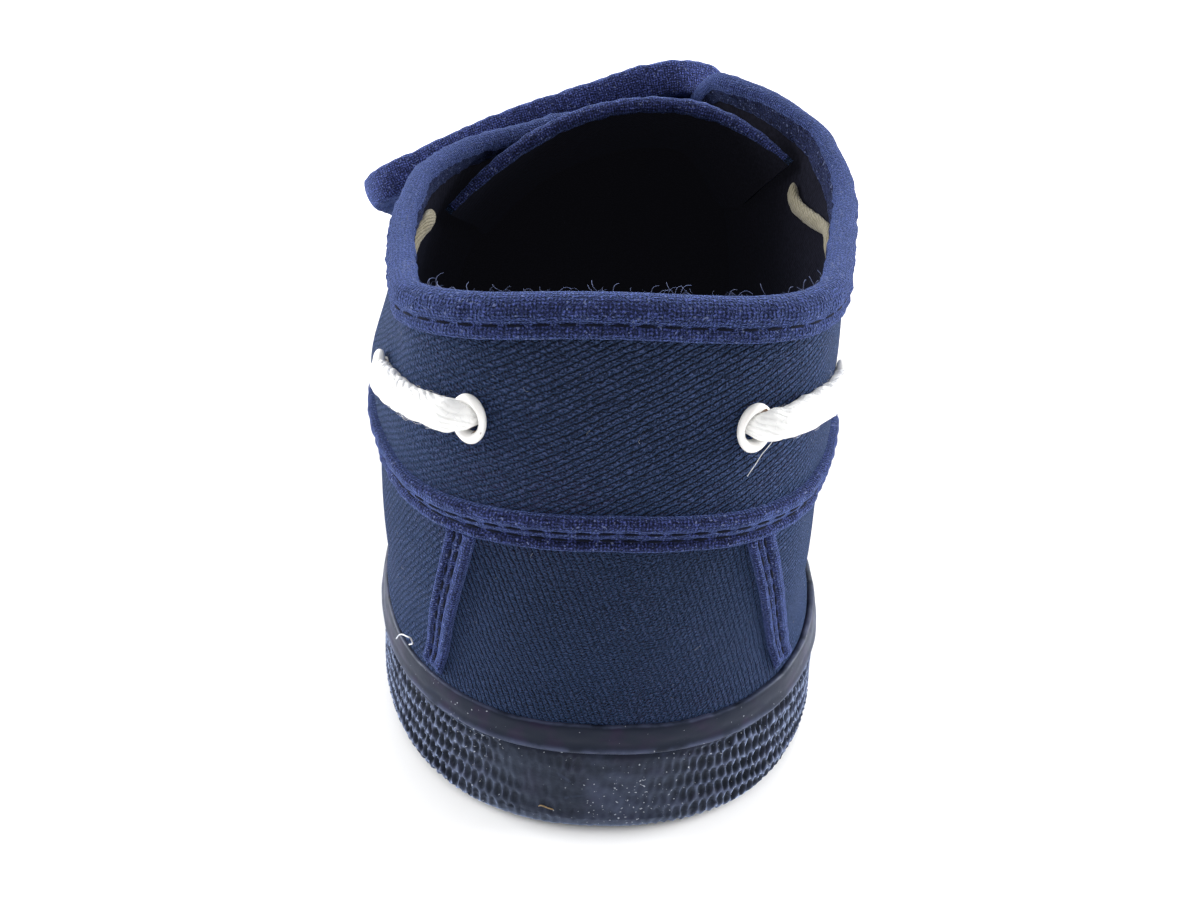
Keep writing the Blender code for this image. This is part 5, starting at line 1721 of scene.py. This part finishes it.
class BOATSHOE_OT_tongue(Maker, bpy.types.Operator):
    """Make the tongue and the tape round its rear edge"""

    bl_idname = "boatshoe.tongue"
    bl_label = "Tongue"

    def make(self, scene):
        settings = scene.boatshoe_cloth
        finishes = [twill("twill_tongue", settings), bpy.data.materials["lining_cloth"]]
        dressed(build_sheet("tongue_canvas", tongue_point, np.linspace(0, 1, 90),
                            np.linspace(-1.12, 1.06, 100), -TONGUE_CLOTH, 0.0, 51, finishes, 48),
                "canvas", "tongue")
        # A copy of the tape brightened 1.25 times: painted light.
        tape = plain_weave("tongue_tape", settings, 0.11, 1.25)
        dressed(build_edge_tape("tongue_binding", tongue_edge(), -TONGUE_CLOTH, 0.0, TONGUE_LEG,
                                0.5, settings, 52, tape, 0.35, 13.0), "tape")


class BOATSHOE_OT_strap(Maker, bpy.types.Operator):
    """Make the strap across the instep and the tape round its edges"""

    bl_idname = "boatshoe.strap"
    bl_label = "Strap"

    def make(self, scene):
        settings = scene.boatshoe_cloth
        finishes = [twill("twill_strap", settings), bpy.data.materials["lining_cloth"]]
        dressed(build_sheet("strap_canvas", strap_point, np.linspace(0, 1, 130),
                            np.linspace(0, 1, 50), 0.05, STRAP_CLOTH, 61, finishes, -35),
                "canvas", "strap")
        # A copy of the tape brightened 1.7 times: painted light on the strap's edges.
        tape = plain_weave("strap_tape", settings, 0.11, 1.7)
        dressed(build_edge_tape("strap_binding_tape", strap_edge(), -1.6, STRAP_CLOTH, STRAP_LEG,
                                0.8, settings, 62, tape), "tape", "strap_binding")


class BOATSHOE_OT_eyelets(Maker, bpy.types.Operator):
    """Make the four rolled eyelets"""

    bl_idname = "boatshoe.eyelets"
    bl_label = "Eyelets"

    def make(self, scene):
        finish = eyelet_enamel("white_enamel", scene.boatshoe_trims.enamel)
        for name, side in EYELETS:
            dressed(build_eyelet(name, side, finish), "eyelet",
                    f"eyelet_{name}_{SIDE_NAMES[side]}")


class BOATSHOE_OT_lace(Maker, bpy.types.Operator):
    """Make the lace that runs through the eyelets"""

    bl_idname = "boatshoe.lace"
    bl_label = "Lace"

    def make(self, scene):
        dressed(build_lace(cotton_cord("cotton_cord", scene.boatshoe_trims.cord)), "cord",
                "lace_outside_medial", "lace_outside_lateral", "lace_inside_heel",
                "lace_inside_medial", "lace_inside_lateral")


class BOATSHOE_OT_sole(Maker, bpy.types.Operator):
    """Make the knurled sole and the smooth band round it"""

    bl_idname = "boatshoe.sole"
    bl_label = "Rubber Sole"

    def make(self, scene):
        dressed(build_sole(scene.boatshoe_rubber), "rubber", "outsole")
        dressed(build_foxing(scene.boatshoe_rubber), "rubber", "foxing_band")


class BOATSHOE_OT_footbed(Maker, bpy.types.Operator):
    """Make the cloth-covered footbed"""

    bl_idname = "boatshoe.footbed"
    bl_label = "Footbed"

    def make(self, scene):
        dressed(build_footbed(scene.boatshoe_cloth), "sock_lining", "insole")


class BOATSHOE_OT_stitches(Maker, bpy.types.Operator):
    """Sew every row of stitches"""

    bl_idname = "boatshoe.stitches"
    bl_label = "Stitches"

    def make(self, scene):
        step = scene.boatshoe_cloth.stitch_length * MM
        thread = stitch_tree().make("stitches_thread", line_source(stitch_lines()), {
            "Step": step, "Length": step * 0.72, "Width": 0.34 * MM,
            "Material": sewing_thread("navy_thread", scene.boatshoe_trims.thread)})
        dressed(thread, "tape")


class BOATSHOE_OT_lint(Maker, bpy.types.Operator):
    """Scatter lint and fuzz over the cloth"""

    bl_idname = "boatshoe.lint"
    bl_label = "Lint and Fuzz"

    def make(self, scene):
        build_lint(scene.boatshoe_trims)


CAMERA_PLACE = (-0.0024, -0.09766, 0.09976)
CAMERA_PITCH = 0.5641            # downwards
CAMERA_YAW = 0.0124              # towards the medial side
CAMERA_ROLL = 0.0329
LENS = 27.898                    # on a sensor 36 mm wide
FLOOR_HALF = 3.0                 # metres
LAMP_TARGET = (0.0, 0.06, 0.03)
LAMPS = [
    # name, place, size in metres, share of the power
    ("left_lamp", (-0.80, 0.20, 0.22), 0.42, 1.6),
    ("right_lamp", (0.80, 0.16, 0.24), 0.42, 1.8),
    ("rear_lamp", (0.10, 1.00, 0.70), 0.9, 1.0),
]


def pale_surround(strength):
    """A white studio that is dimmer on the side of the heel."""
    world = bpy.data.worlds.new("pale_surround")
    world.use_nodes = True
    tree = Tree(world.node_tree)
    way = tree.parts(tree.add("ShaderNodeTexCoord", output="Generated"))
    level = tree.smooth(way[1], -0.9, 0.25, 0.25, 1.0) * strength
    tree.put(world.node_tree.nodes["Background"], {"Color": WHITE, "Strength": level})
    return world


class BOATSHOE_OT_stage(Maker, bpy.types.Operator):
    """Set the pale floor, the soft lamps and the camera"""

    bl_idname = "boatshoe.stage"
    bl_label = "Floor, Light and Camera"

    def make(self, scene):
        settings = scene.boatshoe_stage
        corners = [(-1, -1), (1, -1), (1, 1), (-1, 1)]
        floor = add_mesh("floor", [(x * FLOOR_HALF, y * FLOOR_HALF, 0) for x, y in corners],
                         [(0, 1, 2, 3)], [studio_floor("pale_floor", settings.floor)])
        scene.world = pale_surround(settings.surround)
        scene.view_settings.view_transform = "Standard"
        for name, place, size, share in LAMPS:
            lamp = bpy.data.lights.new(name, "AREA")
            lamp.size, lamp.energy = size, settings.power * share
            lit = link(name, lamp)
            lit.location = place
            towards = Vector(LAMP_TARGET) - Vector(place)
            lit.rotation_euler = towards.to_track_quat("-Z", "Y").to_euler()
        lens = bpy.data.cameras.new("view")
        lens.lens, lens.sensor_width, lens.clip_start = LENS, 36.0, 0.005
        camera = link("view", lens)
        camera.matrix_world = (Matrix.Translation(CAMERA_PLACE)
                               @ Matrix.Rotation(-CAMERA_YAW, 4, "Z")
                               @ Matrix.Rotation(math.pi / 2 - CAMERA_PITCH, 4, "X")
                               @ Matrix.Rotation(CAMERA_ROLL, 4, "Z"))
        scene.camera = camera


OPERATORS = (
    BOATSHOE_OT_stage, BOATSHOE_OT_sole, BOATSHOE_OT_footbed, BOATSHOE_OT_upper,
    BOATSHOE_OT_bindings, BOATSHOE_OT_tongue, BOATSHOE_OT_strap, BOATSHOE_OT_eyelets,
    BOATSHOE_OT_lace, BOATSHOE_OT_stitches, BOATSHOE_OT_lint,
)
SETTINGS = {
    "boatshoe_cloth": BoatShoeCloth,
    "boatshoe_rubber": BoatShoeRubber,
    "boatshoe_trims": BoatShoeTrims,
    "boatshoe_stage": BoatShoeStage,
}


class BOATSHOE_PT_pieces(bpy.types.Panel):
    """The shoe's pieces and their settings"""

    bl_idname = "BOATSHOE_PT_pieces"
    bl_label = "Boat Shoe"
    bl_space_type = "VIEW_3D"
    bl_region_type = "UI"
    bl_category = "Boat Shoe"

    def draw(self, context):
        for name, group in SETTINGS.items():
            box = self.layout.box()
            for key in group.__annotations__:
                box.prop(getattr(context.scene, name), key)
        for operator in OPERATORS:
            self.layout.operator(operator.bl_idname)


def register():
    for group in SETTINGS.values():
        bpy.utils.register_class(group)
    for name, group in SETTINGS.items():
        setattr(bpy.types.Scene, name, PointerProperty(type=group))
    for made in (*OPERATORS, BOATSHOE_PT_pieces):
        bpy.utils.register_class(made)


def unregister():
    for made in (BOATSHOE_PT_pieces, *reversed(OPERATORS)):
        bpy.utils.unregister_class(made)
    for name in SETTINGS:
        delattr(bpy.types.Scene, name)
    for group in SETTINGS.values():
        bpy.utils.unregister_class(group)


def main():
    register()
    for operator in OPERATORS:
        family, step = operator.bl_idname.split(".")
        getattr(getattr(bpy.ops, family), step)()


if __name__ == "__main__":
    main()
